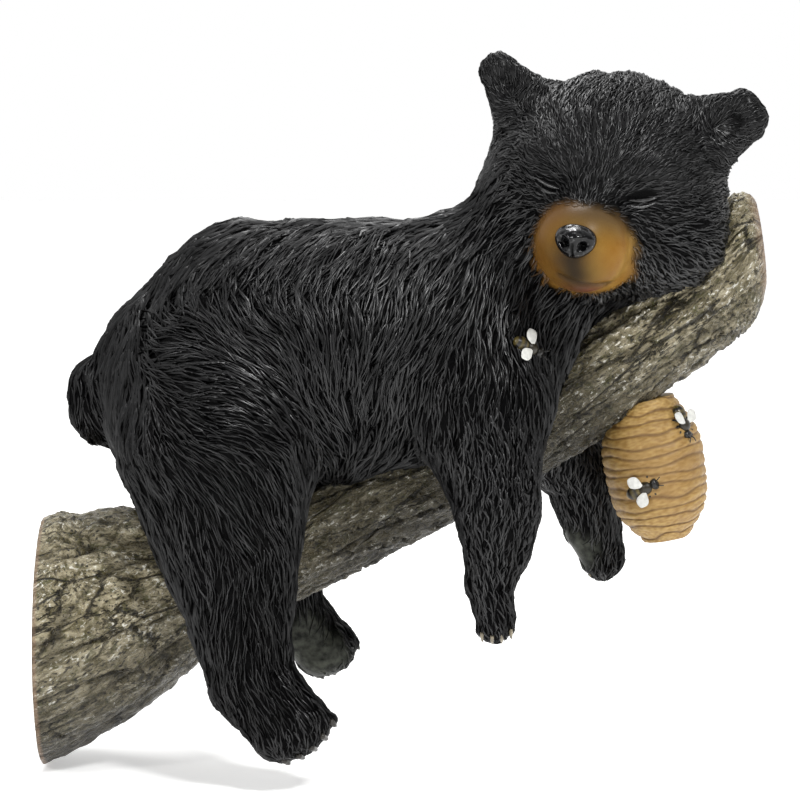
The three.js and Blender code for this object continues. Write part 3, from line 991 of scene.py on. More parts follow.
# the lie, length and height of the fur and where each coat grows, kept on the skin
def layFur(piece):
    p = vectorsOf(piece, "co") / mm
    n = vectorsOf(piece, "normal")
    distances = np.stack([form["distance"](p) for form in forms], 1)
    weight = np.exp((distances.min(1, keepdims=True) - distances) / locks["formBlend"])
    weight /= weight.sum(1, keepdims=True)
    flow = sum(weight[:, [i]] * form["lie"](p) for i, form in enumerate(forms))
    lock, lift = (sum(weight[:, i] * form[key] for i, form in enumerate(forms)) for key in ("lock", "lift"))
    flow = unit(flow - n * (flow * n).sum(1, keepdims=True))
    swing = sum(angle * noiseAt(p, width, offset) for angle, width, offset in locks["swings"])
    flow = flow * np.cos(swing)[:, None] + np.cross(n, flow) * np.sin(swing)[:, None]

    q = (p - headCentre) @ headTurn
    power, soft = face["patchPower"], face["patchSoft"]
    ragged, width, offset = face["patchRagged"]
    away = np.abs((q[:, [0, 2]] - face["patchCentre"]) / face["patchRadii"])
    patch = (away ** power).sum(1) ** (1 / power) + ragged * noiseAt(q, width, offset)
    front = ramp(-q[:, 1], *face["patchFront"])
    tan = (1 - ramp(patch, 1 - soft, 1 + soft)) * front
    bald = (1 - ramp(patch, *face["bald"])) * front
    eyes = eyeZone(q) * front
    toe = 1 - ramp(np.minimum.reduce([distance(p) for distance in toeBalls]), *toes["bare"])
    soles = soleZone(p, n)
    buried = 1 - ramp(limbDistance(p), *locks["clearance"])
    cover = np.clip(1 - bald - eyes - soles - toe - buried, 0, 1)

    clump = streaks(p, flow, locks["clumpWidth"], locks["clumpReach"])
    movePoints(piece, p + n * (clump * lift * cover * locks["clumpRise"])[:, None])
    short = 1 - ramp(lock, *locks["shortLocks"])
    rear = p[:, 0] < locks["rearEnd"]
    headSide = np.linalg.norm(q, axis=1) < locks["headReach"]
    # painted light: paler over the top of the head, fading out down the cheeks
    brow = headSide * ramp(q[:, 2], *face["topLightRise"])
    bare = face["bareRidge"] * (1 - cover) * (1 - buried)
    zones = {
        "furFlow": unit(flow), "skinNormal": n, "furLength": lock * mm, "furLift": lift * mm,
        "rearCover": cover * (1 - short) * rear, "frontCover": cover * (1 - short) * ~rear,
        "legsCover": cover * short * ~headSide, "headCover": cover * short * headSide,
        "tan": tan, "sole": soles, "shade": face["topLightShade"] * brow,
        "ridge": np.maximum(bare, face["topLightRidge"] * brow) * (1 - eyes),
    }
    for name, values in zones.items():
        putZone(piece, name, values)


carveMouth(skin)
layFur(skin)
print("fur laid out")


# one lock along X, one unit long and one wide; lift is its height at each point
def makeLock(index):
    draw = np.random.default_rng(locks["seed"] * 10 + index)
    sway, hook = draw.uniform(-1, 1, 2) * locks["bend"]
    belly = draw.uniform(*locks["belly"])
    tipLift = draw.uniform(*locks["tipLift"])
    count, edge, least = locks["segments"], locks["edgeLift"], locks["leastRidge"]
    skew, fullness = locks["outline"]
    # along, across, lift, ridge, side
    rows = [(-0.5, 0, locks["rootLift"], locks["rootRidge"], 0)]
    for i in range(1, count):
        t = i / count
        width = 0.5 * math.sin(math.pi * t ** skew) ** fullness
        middle = sway * math.sin(math.pi * t) + hook * t * t
        height = math.exp(-((t - belly) / locks["bellyLength"]) ** 2)
        crest = least + (1 - least) * height
        for side, lift, ridge in ((-1, edge, 0), (0, height, crest), (1, edge, 0)):
            rows.append((t - 0.5, middle + side * width, lift + tipLift * t ** 3, ridge, side))
    rows.append((0.5, hook, tipLift, locks["tipRidge"], 0))
    faces = [(2, 1, 0), (3, 2, 0), (1, 3, 0)]
    for i in range(count - 2):
        a, b = 1 + 3 * i, 4 + 3 * i
        faces += [(a + 1, b + 1, b, a), (a + 2, b + 2, b + 1, a + 1), (a, b, b + 2, a + 2)]
    tip = len(rows) - 1
    faces += [(tip - 3, tip - 2, tip), (tip - 2, tip - 1, tip), (tip - 1, tip - 3, tip)]
    x, y, lift, ridge, across = np.array(rows, float).T
    shape = makeObject("lock" + str(index), np.stack([x, y, np.zeros(len(x))], 1), faces)
    for name, values in (("lift", lift), ("ridge", ridge), ("across", across)):
        putZone(shape, name, values)
    collection.objects.unlink(shape)
    return shape


def makeFurTree():
    tree = bpy.data.node_groups.new("furLocks", "GeometryNodeTree")
    for name, kind in (("Skin", "Geometry"), ("Lock Shapes", "Collection"), ("Spacing", "Float"),
                       ("Width Share", "Float"), ("Cover", "String"), ("Darkest", "Float"),
                       ("Palest", "Float"), ("Seed", "Int"), ("Finish", "Material")):
        tree.interface.new_socket(name, in_out="INPUT", socket_type="NodeSocket" + kind)
    tree.interface.new_socket("Fur", in_out="OUTPUT", socket_type="NodeSocketGeometry")
    given = addNode(tree, "NodeGroupInput").outputs

    def read(name, kind="FLOAT"):
        node = addNode(tree, "GeometryNodeInputNamedAttribute", data_type=kind)
        feed(tree, name, node.inputs["Name"])
        return node.outputs["Attribute"]

    def chance(low, high, seed):
        inputs = {2: low, 3: high, "Seed": seed}
        return addNode(tree, "FunctionNodeRandomValue", inputs, data_type="FLOAT").outputs[1]

    def put(kind, inputs, **settings):
        return addNode(tree, kind, inputs, **settings).outputs[0]

    points = put("GeometryNodeDistributePointsOnFaces", {
        "Mesh": given["Skin"], "Distance Min": given["Spacing"], "Density Max": locks["density"],
        "Density Factor": read(given["Cover"]), "Seed": given["Seed"]}, distribute_method="POISSON")
    shade = chance(given["Darkest"], given["Palest"], 11)
    shaded = put("GeometryNodeStoreNamedAttribute", {
        "Geometry": points, "Name": "shade", "Value": shade}, data_type="FLOAT", domain="POINT")
    normal = read("skinNormal", "FLOAT_VECTOR")
    facing = put("FunctionNodeAxesToRotation", {
        "Primary Axis": normal, "Secondary Axis": read("furFlow", "FLOAT_VECTOR")},
        primary_axis="Z", secondary_axis="X")
    jitter = put("FunctionNodeAxisAngleToRotation", {
        "Axis": (0, 0, 1), "Angle": chance(-locks["turn"], locks["turn"], 12)})
    turned = put("FunctionNodeRotateRotation", {
        "Rotation": facing, "Rotate By": jitter}, rotation_space="LOCAL")
    length = product(tree, read("furLength"), chance(*locks["lengths"], 13))
    width = product(tree, read("furLength"), given["Width Share"], chance(*locks["widths"], 14))
    size = put("ShaderNodeCombineXYZ", {"X": length, "Y": width, "Z": 1.0})
    shapes = put("GeometryNodeCollectionInfo", {
        "Collection": given["Lock Shapes"], "Separate Children": True, "Reset Children": True})
    placed = put("GeometryNodeInstanceOnPoints", {
        "Points": shaded, "Instance": shapes, "Pick Instance": True, "Rotation": turned, "Scale": size})
    solid = put("GeometryNodeRealizeInstances", {"Geometry": placed})

    # the flat locks are laid on the nearest skin and lifted off it
    nearest = put("GeometryNodeProximity", {"Target": given["Skin"]}, target_element="FACES")
    outward = put("GeometryNodeSampleNearestSurface", {
        "Mesh": given["Skin"], "Value": normal}, data_type="FLOAT_VECTOR")
    height = product(tree, read("lift"), read("furLift"), spread(tree, read("shade"), *locks["heights"]))
    raised = put("ShaderNodeVectorMath", {0: outward, "Scale": height}, operation="SCALE")
    onSkin = put("ShaderNodeVectorMath", {0: nearest, 1: raised}, operation="ADD")
    bent = put("GeometryNodeSetPosition", {"Geometry": solid, "Position": onSkin})
    paint = put("GeometryNodeSetMaterial", {"Geometry": bent, "Material": given["Finish"]})
    addNode(tree, "NodeGroupOutput", {"Fur": paint})
    return tree


# one coat, grown by the tree on a copy of the skin and kept as a plain mesh
def growFur(name, tree, values):
    carrier = linkObject("carrier", skin.data.copy())
    modifier = carrier.modifiers.new("fur", "NODES")
    modifier.node_group = tree
    for item in tree.interface.items_tree:
        if item.in_out == "INPUT" and item.name in values:
            modifier[item.identifier] = values[item.name]
    bpy.context.view_layer.update()
    ready = carrier.evaluated_get(bpy.context.evaluated_depsgraph_get())
    mesh = bpy.data.meshes.new_from_object(ready)
    carrier.modifiers.remove(modifier)
    bpy.data.objects.remove(carrier)
    mesh.name = name
    mesh.shade_smooth()
    return linkObject(name, mesh)


fur = {
    "speckle": (70.0, 1500.0),
    "roughness": (0.26, 0.42),
    "bump": (0.35, 0.0005),
    "dullShine": 0.04,
    "coatRoughness": 0.33,
    "coatIor": 1.6,
    # painted shade and highlight: the near-black groove colour darkens the skin between the locks and the
    # locks' edges; the paler crest colour is dry-brushed paint and in part a painted highlight
    "groove": (0.0006, 0.0006, 0.0008, 1),
    "crest": (0.03, 0.03, 0.031, 1),
    "crestPower": 1.7,
    "shadeRange": (0.3, 2.3, 0.0, 2.0),
    "dusty": (0.003, 0.0028, 0.0026, 1),
    "dusting": 0.3,
    "strands": 7.0,
    "strandShare": 0.5,
    "ochre": (0.22, 0.1, 0.0135, 1),
    "paleOchre": (0.3, 0.172, 0.036, 1),
    # zone of the muzzle, where it starts, strength and colour
    "muzzle": [
        ("bridge", 0.0, 0.9, (0.062, 0.039, 0.019, 1)),
        ("shaded", 0.0, 0.75, (0.115, 0.05, 0.01, 1)),
        ("lip", 0.0, 1.0, (0.21, 0.07, 0.036, 1)),
        # painted shadow under the nose
        ("noseShadow", 0.05, 0.97, (0.018, 0.012, 0.007, 1)),
        ("mouth", 0.0, 0.6, (0.018, 0.012, 0.007, 1)),
    ],
    "padSpeckle": (260.0, 900.0),
    "pad": (0.007, 0.0075, 0.006, 1),
    "palePad": (0.07, 0.074, 0.06, 1),
}


def makeFurPaint():
    material, tree, speckle = newPaint("furPaint", fur)
    mottle = speckle["Mottle"]
    # painted shade in the grooves and a partly painted highlight along the crests, by ridge and lock shade
    crest = calculate(tree, "POWER", zone(tree, "ridge"), fur["crestPower"])
    lit = product(tree, crest, spread(tree, zone(tree, "shade"), *fur["shadeRange"]))
    colour = mixColours(tree, lit, fur["groove"], fur["crest"])
    colour = mixColours(tree, spread(tree, mottle, 0, fur["dusting"]), colour, fur["dusty"])
    ochre = mixColours(tree, mottle, fur["ochre"], fur["paleOchre"])
    for name, start, strength, paint in fur["muzzle"]:
        ochre = mixColours(tree, spread(tree, zone(tree, name), 0, strength, start), ochre, paint)
    colour = mixColours(tree, zone(tree, "tan"), colour, ochre)
    pad = mixColours(tree, addSpeckle(tree, fur["padSpeckle"])["Mottle"], fur["pad"], fur["palePad"])
    colour = mixColours(tree, zone(tree, "sole"), colour, pad)
    strands = calculate(tree, "SINE", product(tree, zone(tree, "across"), fur["strands"]))
    height = calculate(tree, "ADD", speckle["Height"], product(tree, strands, fur["strandShare"]))
    finishPaint(tree, fur, colour, mottle, height)
    addCoat(tree, fur, spread(tree, lit, 0, 1))
    return material


furPaint = makeFurPaint()


def coatBear():
    shapes = bpy.data.collections.new("lockShapes")
    for i in range(locks["shapes"]):
        shapes.objects.link(makeLock(i))
    tree = makeFurTree()
    coats = []
    for i, (part, spacing, width, darkest, palest) in enumerate(locks["coats"]):
        coats.append(growFur("bear_fur_" + part, tree, {
            "Spacing": spacing, "Width Share": width, "Cover": part + "Cover", "Darkest": darkest,
            "Palest": palest, "Seed": locks["seed"] + i, "Lock Shapes": shapes, "Finish": furPaint}))
    for shape in list(shapes.objects):
        bpy.data.objects.remove(shape)
    bpy.data.collections.remove(shapes)
    return coats


coats = coatBear()
print("fur", [len(coat.data.polygons) for coat in coats])
finishPiece(skin, furPaint, "fur", "bear_cub")
for coat in coats:
    finishPiece(coat, furPaint, "fur")


# eyelids: closed slits between rounded folds, laid on the face

lids = {
    "inner": (15.8, -6.0),
    "outer": (27.4, -2.9),
    "sag": 0.9,
    # place across the slit, thickness
    "folds": [(-2.3, 0.75), (0.7, 0.85)],
    "foldEnds": 0.7,
    "thinEnds": 0.25,
    "roundness": 0.7,
    "stand": 0.35,
    "startDepth": -95.0,
    "steps": 12,
    "sides": 8,
    "speckle": (300.0, 1800.0),
    "roughness": (0.18, 0.3),
    "bump": (0.15, 0.0003),
    "lit": (0.05, 0.05, 0.05, 1),
    "dark": (0.012, 0.012, 0.012, 1),
}


# points on the bear's skin, met from in front of the face
def onFace(x, z):
    start = np.stack([x, np.full(len(x), lids["startDepth"]), z], 1) @ headTurn.T + headCentre
    return meet(bearField, start, headTurn[:, 1])


def makeLids():
    surfaces = []
    s = np.linspace(0, 1, lids["steps"])
    bow = np.sin(math.pi * s)
    x, z = (a + (b - a) * s for a, b in zip(lids["inner"], lids["outer"]))
    ends, thin = lids["foldEnds"], lids["thinEnds"]
    for side in (-1, 1):
        for offset, thick in lids["folds"]:
            path = onFace(side * x, z + offset * (ends + (1 - ends) * bow) - lids["sag"] * bow)
            path[:, 1] -= lids["stand"]
            radii = thick * (thin + (1 - thin) * bow ** lids["roundness"])
            surfaces.append((*tubeSurface(path, radii, lids["sides"]), {}))
    return joinSurfaces("bear_eyelids", surfaces)


def makeLidPaint():
    material, tree, speckle = newPaint("lidPaint", lids)
    colour = mixColours(tree, speckle["Mottle"], lids["dark"], lids["lit"])
    finishPaint(tree, lids, colour, speckle["Mottle"], speckle["Height"])
    return material


finishPiece(makeLids(), makeLidPaint(), "fur")


# nose: a glossy black pad with two nostrils and a groove down its middle

nose = {
    "centre": (-0.4, -71.0, -26.0),
    "radii": (8.4, 9.1, 7.5),
    "rows": 60,
    "columns": 84,
    "flare": 0.16,
    "front": (0.5, 4),
    # place and size across and up, slant
    "nostril": (4.2, -1.2, 2.5, 2.3, 0.25),
    "nostrilDepth": 4.4,
    "grooveWidth": 0.8,
    "grooveDepth": 1.3,
    "grooveTop": (-2.0, 2.5),
    "flatTop": 1.2,
    "flatFrom": 2,
    "pebble": 0.42,
    "pebbleWidth": 2.0,
    "speckle": (400.0, 700.0),
    "roughness": (0.04, 0.12),
    "bump": (0.45, 0.0007),
    "shine": (0.3, 1.0),
    "dullShine": 0.1,
    "coatRoughness": 0.08,
    "coatIor": 1.75,
    "colour": (0.0025, 0.0025, 0.003, 1),
    "grey": (0.008, 0.008, 0.009, 1),
    "hollow": (0.001, 0.001, 0.001, 1),
}


def makeNose():
    points, faces = ballSurface((0, 0, 0), nose["radii"], nose["rows"], nose["columns"])
    out, x, z = points.T
    tall = nose["radii"][2]
    x0, z0, wide, high, slant = nose["nostril"]
    front = ramp(out, *nose["front"])
    dent = np.zeros(len(points))
    for side in (-1, 1):
        level = z - z0 - slant * (side * x - x0)
        dent += hump(x - side * x0, wide) * hump(level, high)
    groove = hump(x, nose["grooveWidth"]) * ramp(-z, *nose["grooveTop"])
    flatTop = nose["flatTop"] * ramp(z, nose["flatFrom"], tall) * front
    pebble = nose["pebble"] * noiseAt(points, nose["pebbleWidth"])
    depth = nose["nostrilDepth"] * dent + nose["grooveDepth"] * groove - pebble
    local = np.stack([x * (1 + nose["flare"] * z / tall), front * depth + flatTop - out, z], 1)
    world = (local + np.array(nose["centre"])) @ headTurn.T + headCentre
    zones = {"dent": np.clip(dent + groove, 0, 1)}
    return joinSurfaces("bear_nose", [(world, [f[::-1] for f in faces], zones)])


def makeNosePaint():
    material, tree, speckle = newPaint("nosePaint", nose)
    dent = zone(tree, "dent")
    colour = mixColours(tree, speckle["Fleck"], nose["colour"], nose["grey"])
    colour = mixColours(tree, dent, colour, nose["hollow"])
    finishPaint(tree, nose, colour, speckle["Mottle"], speckle["Height"])
    raised = calculate(tree, "SUBTRACT", 1.0, dent)
    addCoat(tree, nose, product(tree, spread(tree, speckle["Fleck"], *nose["shine"]), raised))
    return material


finishPiece(makeNose(), makeNosePaint(), "fur")


# claws: a short blunt point lying on the front of each toe

claws = {
    "length": {"hind": 4.2, "fore": 5.0},
    "thick": {"hind": 1.35, "fore": 0.85},
    "pale": {"hind": 0.06, "fore": 0.8},
    "back": 2.6,
    "toeShare": 0.6,
    "raise": 0.5,
    "blunt": 3.5,
    "tip": 0.05,
    "startDepth": -120.0,
    "steps": 7,
    "sides": 8,
    "speckle": (350.0, 1500.0),
    "roughness": (0.25, 0.45),
    "bump": (0.25, 0.0003),
    "horn": (0.34, 0.29, 0.2, 1),
    "dark": (0.012, 0.011, 0.01, 1),
    "stain": 0.4,
}


# the bear's skin as met from the near side, no deeper than the given points
def frontOf(points):
    start = points.copy()
    start[:, 1] = claws["startDepth"]
    met = meet(bearField, start, (0, 1, 0), steps=60)
    met[:, 1] = np.minimum(met[:, 1], points[:, 1])
    return met


def makeClaws():
    surfaces = []
    s = np.linspace(0, 1, claws["steps"])
    for centre, radius, ahead, kind in toePlaces():
        reach = s * claws["length"][kind] - claws["back"] + radius * claws["toeShare"]
        path = centre + np.outer(reach, ahead)
        if centre[1] < 0:
            path = frontOf(path)
            path[:, 1] -= claws["raise"]
        radii = claws["thick"][kind] * (1 + claws["tip"] - s ** claws["blunt"])
        surfaces.append((*tubeSurface(path, radii, claws["sides"]), {"pale": claws["pale"][kind]}))
    return joinSurfaces("bear_claws", surfaces)


def makeClawPaint():
    material, tree, speckle = newPaint("clawPaint", claws)
    colour = mixColours(tree, zone(tree, "pale"), claws["dark"], claws["horn"])
    colour = mixColours(tree, spread(tree, speckle["Mottle"], 0, claws["stain"]), colour, claws["dark"])
    finishPaint(tree, claws, colour, speckle["Mottle"], speckle["Height"])
    return material


finishPiece(makeClaws(), makeClawPaint(), "fur")
print("face and claws made")


# branch: plates of bark, cracks between them, and two sawn ends

bark = {
    "furrows": 9,
    "furrowDepth": 1.2,
    "furrowMiddle": 0.6,
    "furrowDrift": (2.6, 55),
    # a low swelling on top of the butt: rise, share of the length, its length and its spread in radians
    "swell": (6.0, 0.14, 0.055, 0.6),
    "crackDepth": 2.2,
    # width of a crack, and how far it wanders
    "cracks": (0.04, 0.048),
    "splits": (0.035, 0.12),
    "splitShare": 0.8,
    "splitEdge": 3,
    "fibre": 0.7,
    "flake": 1.0,
    "flakeFractal": (0.65, 2.2, 5),
    "chip": 0.7,
    "chipFractal": (0.8, 2.2, 4, 0.9, 2.0),
    "chipMiddle": 1.1,
    "pit": 0.75,
    "finePit": 0.6,
    "leastPit": 0.5,
    # shares of the length where the pits deepen towards the tip, and where the relief fades at each end
    "rugged": (0.55, 0.8),
    "endFades": (0.01, 0.012),
    "endRelief": 0.35,
    # noise: millimetres along and across, seed
    "wanderNoise": (20, 20, 9),
    "crackNoise": (85, 10, 1),
    "splitNoise": (14, 13, 4),
    "splitPlaces": (30, 14, 6),
    "fibreNoise": (26, 2.2, 3),
    "flakeNoise": (12, 8, 2),
    "chipNoise": (7.5, 4.2, 11),
    "pitNoise": (2.6, 2.6, 7),
    "finePitNoise": (1.5, 1.5, 8),
    # share of the length over which the rings turn upright at each end, and how far at the tip
    "buttCut": 0.12,
    "tipCut": 0.14,
    "tipUpright": 0.8,
    "capRings": 14,
    "growthRings": 9,
    "buttRim": 0.6,
    "tipRim": (0.1, 0.8, 5),
    # paint: millimetres along and across for one plate, one fibre and one fleck
    "plate": (64.0, 14.0),
    "strand": (11.0, 3.4),
    "speck": (2.8, 1.5),
    "plateWander": 0.5,
    # detail and distortion of the painted noise
    "strandNoise": (6.0, 0.8),
    "speckNoise": (3.0, 0.3),
    "noiseRoughness": 0.65,
    # masks: strength at the low and at the high end of a range, and the range
    "seamRange": (1, 0, 0.006, 0.035),
    "seamPlaces": (0, 1, 0.15, 0.6),
    "strandRange": (0, 1, 0.38, 0.6),
    "mossRange": (0, 0.75),
    "wornHeight": (0.1, 1, -0.5, 2.0),
    "wornStrand": (0, 1, 0.52, 0.7),
    "pitRange": (0, 0.9, 0.55, 0.63),
    # painted highlight: near-white glints on raised specks
    "glintRange": (1, 0, 0.37, 0.43),
    "glintHeight": (0, 1, -0.7, 0.6),
    "lowRange": (0.8, 0, -2.6, -0.5),
    # painted shade: the crack colour laid over the branch's underside
    "undersideRange": (0.86, 0, -48, 12),
    # painted shadow of the bear on the branch: millimetres from the butt
    "bearShadowStart": (0, 1, 70.0, 150.0),
    "bearShadowEnd": (1, 0, 268.0, 315.0),
    "bearShadowStrength": 0.55,
    "crackShade": 0.86,
    "speckle": (30.0, 260.0),
    "roughness": (0.15, 0.45, 0.35, 0.65),
    "bump": (1.0, 0.003),
    "speckBump": -0.6,
    "crack": (0.008, 0.0065, 0.004, 1),
    "olive": (0.115, 0.095, 0.04, 1),
    "grey": (0.2, 0.17, 0.1, 1),
    "paleGrey": (0.5, 0.435, 0.285, 1),
    "dry": (0.72, 0.68, 0.52, 1),
    "glint": (0.98, 0.95, 0.84, 1),
    "moss": (0.085, 0.085, 0.02, 1),
    "heartwood": (0.30, 0.19, 0.12, 1),
    "growth": (0.15, 0.095, 0.06, 1),
}


# height of the bark and its cracks, at a share of the length and an angle round the branch
def barkAt(t, a):
    u, x, y = t * limbLength, limb["radius"] * math.cos(a), limb["radius"] * math.sin(a)

    def spot(name):
        along, across, seed = bark[name]
        return Vector((u / along + seed, x / across, y / across))

    def noiseOf(name):
        return noise.noise(spot(name))

    # a thin line where the noise passes through nothing
    def crease(name, width, wander):
        return max(0.0, 1 - abs(noiseOf(name) + wander * noiseOf("wanderNoise")) / width)

    split = crease("splitNoise", *bark["splits"])
    split *= max(0.0, min(1.0, bark["splitEdge"] * noiseOf("splitPlaces")))
    crack = max(crease("crackNoise", *bark["cracks"]), bark["splitShare"] * split)
    flake = noise.fractal(spot("flakeNoise"), *bark["flakeFractal"])
    chip = noise.ridged_multi_fractal(spot("chipNoise"), *bark["chipFractal"]) - bark["chipMiddle"]
    pit = noiseOf("pitNoise") + bark["finePit"] * noiseOf("finePitNoise")
    rugged = bark["leastPit"] + float(ramp(t, *bark["rugged"]))
    swing, reach = bark["furrowDrift"]
    drift = swing * noise.noise(Vector((u / reach, 2, 5)))
    furrow = abs(math.sin(bark["furrows"] * a / 2 + drift)) - bark["furrowMiddle"]
    height = bark["furrowDepth"] * furrow + bark["fibre"] * noiseOf("fibreNoise") + bark["flake"] * flake
    height += bark["pit"] * pit * rugged + bark["chip"] * chip - bark["crackDepth"] * crack
    buttFade, tipFade = bark["endFades"]
    fade = min(1.0, t / buttFade) * min(1.0, (1 - t) / tipFade)
    return height * (bark["endRelief"] + (1 - bark["endRelief"]) * fade), crack


def swelling(t, a):
    rise, place, reach, around = bark["swell"]
    fromTop = np.remainder(a + math.pi, 2 * math.pi) - math.pi
    return rise * hump(t - place, reach) * hump(fromTop, around)


def makeBranch():
    rings, sides = limb["rings"], limb["sides"]
    t, a = np.linspace(0, 1, rings), roundAngles(sides)
    line = curveThrough(limb["line"], rings)
    tangent = unit(np.gradient(line, axis=0))
    upright = 1 - ramp(t, 0, bark["buttCut"]) + ramp(t, 1 - bark["tipCut"], 1) * bark["tipUpright"]
    upright = upright[:, None]
    facing = unit(tangent * (1 - upright) + np.array([1, 0]) * upright)
    stretch = 1 / (facing * tangent).sum(1)
    along, angle = np.repeat(t, sides), np.tile(a, rings)
    height, crack = np.array([barkAt(share, turn) for share, turn in zip(along, angle)]).T
    radius = (limbRadius(along) + height + swelling(along, angle)).reshape(rings, sides)

    def ringAt(i, share):
        r = radius[i] * share
        up = r * np.cos(a) * stretch[i]
        return np.stack([line[i, 0] - facing[i, 1] * up, -r * np.sin(a), line[i, 1] + facing[i, 0] * up], 1)

    caps = np.linspace(0, 1, bark["capRings"] + 1)[1:-1]
    loft = [ringAt(0, share) for share in caps]
    loft += [ringAt(i, 1.0) for i in range(rings)]
    loft += [ringAt(rings - 1, share) for share in caps[::-1]]
    points, faces = closedLoft(loft, *[np.array([line[i, 0], 0, line[i, 1]]) for i in (0, -1)])

    # values round the sides, between those of the two ends
    def withEnds(values, cap):
        inner = np.repeat(cap, sides)
        return np.concatenate([[cap[0]], inner, values, inner[::-1], [cap[0]]])

    rim = np.zeros((rings, sides))
    rim[:2] = bark["buttRim"]
    least, most, count = bark["tipRim"]
    rim[-count:] = np.linspace(least, most, count)[:, None]
    nothing = np.zeros(len(caps))
    growth = wave(caps * bark["growthRings"])
    zones = {
        "height": withEnds(height, nothing),
        "crack": withEnds(crack, nothing),
        "endGrain": withEnds(rim.ravel(), nothing + 1),
        "growth": withEnds(np.zeros(rings * sides), growth),
    }
    branch = joinSurfaces("branch_bark", [(points, faces, zones)])
    # place in the wood, in millimetres: along the branch, then up and across its section
    shares = np.concatenate([nothing, t, nothing + 1])
    radii = limbRadius(shares) * np.concatenate([caps, np.ones(rings), caps[::-1]])
    grain = np.stack([np.repeat(shares * limbLength, sides), np.outer(radii, np.cos(a)).ravel(),
                      np.outer(radii, np.sin(a)).ravel()], 1)
    putZone(branch, "grain", np.vstack([[0, 0, 0], grain, [limbLength, 0, 0]]))
    return branch


def makeBarkPaint():
    material, tree, patchy = newPaint("barkPaint", bark)
    grain = addNode(tree, "ShaderNodeAttribute", attribute_name="grain").outputs["Vector"]

    def stretched(name):
        along, across = bark[name]
        inputs = {0: grain, 1: (along, across, across)}
        return addNode(tree, "ShaderNodeVectorMath", inputs, operation="DIVIDE").outputs[0]

    def noiseOn(name):
        detail, distortion = bark[name + "Noise"]
        return addNode(tree, "ShaderNodeTexNoise", {
            "Vector": stretched(name), "Scale": 1.0, "Detail": detail, "Distortion": distortion,
            "Roughness": bark["noiseRoughness"]}).outputs[0]

    def between(value, name):
        return spread(tree, value, *bark[name])

    strand, speck = noiseOn("strand"), noiseOn("speck")
    wander = addNode(tree, "ShaderNodeVectorMath", {
        0: stretched("plate"), 1: product(tree, strand, bark["plateWander"])}, operation="ADD").outputs[0]
    inputs = {"Vector": wander, "Scale": 1.0}
    plates = addNode(tree, "ShaderNodeTexVoronoi", inputs, feature="DISTANCE_TO_EDGE")
    edge = between(plates.outputs["Distance"], "seamRange")
    seam = product(tree, edge, between(patchy["Mottle"], "seamPlaces"))
    height = zone(tree, "height")
    place = addNode(tree, "ShaderNodeSeparateXYZ", {0: grain}).outputs
    # painted shadow of the bear, between these two distances from the butt
    bearShadow = product(tree, between(place["X"], "bearShadowStart"), between(place["X"], "bearShadowEnd"))
    dark = calculate(tree, "MAXIMUM", between(height, "lowRange"), zone(tree, "crack"))
    dark = calculate(tree, "MAXIMUM", dark, seam)

    # painted shadow: duller grey under the bear, the pale grey towards the butt and the tip
    grey = mixColours(tree, bearShadow, bark["paleGrey"], bark["grey"])
    wood = mixColours(tree, zone(tree, "growth"), bark["heartwood"], bark["growth"])
    colour = mixColours(tree, between(strand, "strandRange"), bark["olive"], grey)
    for mask, paint in (
            (between(patchy["Fleck"], "mossRange"), bark["moss"]),
            (product(tree, between(height, "wornHeight"), between(strand, "wornStrand")), bark["dry"]),
            (between(speck, "pitRange"), bark["crack"]),
            # painted highlight: near-white glints on raised specks
            (product(tree, between(speck, "glintRange"), between(height, "glintHeight")), bark["glint"]),
            (product(tree, dark, bark["crackShade"]), bark["crack"]),
            # painted shade on the underside, in the crack colour
            (between(place["Y"], "undersideRange"), bark["crack"]),
            # painted shadow of the bear, in the crack colour
            (product(tree, bearShadow, bark["bearShadowStrength"]), bark["crack"]),
            (zone(tree, "endGrain"), wood)):
        colour = mixColours(tree, mask, colour, paint)
    relief = calculate(tree, "ADD", strand, product(tree, speck, bark["speckBump"]))
    finishPaint(tree, bark, colour, speck, calculate(tree, "SUBTRACT", relief, seam))
    return material


finishPiece(makeBranch(), makeBarkPaint(), "bark", "branch")
print("branch made")


# hive: a barrel of straw coils, its foot swung out along the branch

hive = {
    "centre": (282.5, 0, 79.5),
    "radius": 23.0,
    "height": 67.0,
    "tilt": -10.0,
    # share of the radius, share of the height
    "barrel": [(0.46, 0.02), (0.92, 0.26), (1.0, 0.48), (0.99, 0.7), (0.6, 1.0)],
    "coils": 14,
    "coilDepth": 0.9,
    "coilRoundness": 0.6,
    "coilMiddle": 0.8,
    "wave": 0.5,
    "waveAround": 1.6,
    "waveUp": 9,
    "strawRise": 0.3,
    "strawFineness": (6, 6, 9),
    "endGroove": 0.3,
    # half height of the plain ball that the bees are set on, over the hive's height
    "seatShare": 0.62,
    "rows": 170,
    "columns": 150,
    "broadSpeckle": (40.0, 500.0),
    "speckle": (220.0, 1500.0),
    "roughness": (0.4, 0.65),
    "bump": (0.35, 0.0006),
    "strawRange": (0, 1, -0.5, 0.6),
    "grooveRange": (0, 1, 0.45, 1.0),
    "scorch": 0.5,
    "straw": (0.29, 0.165, 0.038, 1),
    "paleStraw": (0.47, 0.31, 0.105, 1),
    "groove": (0.13, 0.062, 0.014, 1),
    "burnt": (0.2, 0.1, 0.024, 1),
}


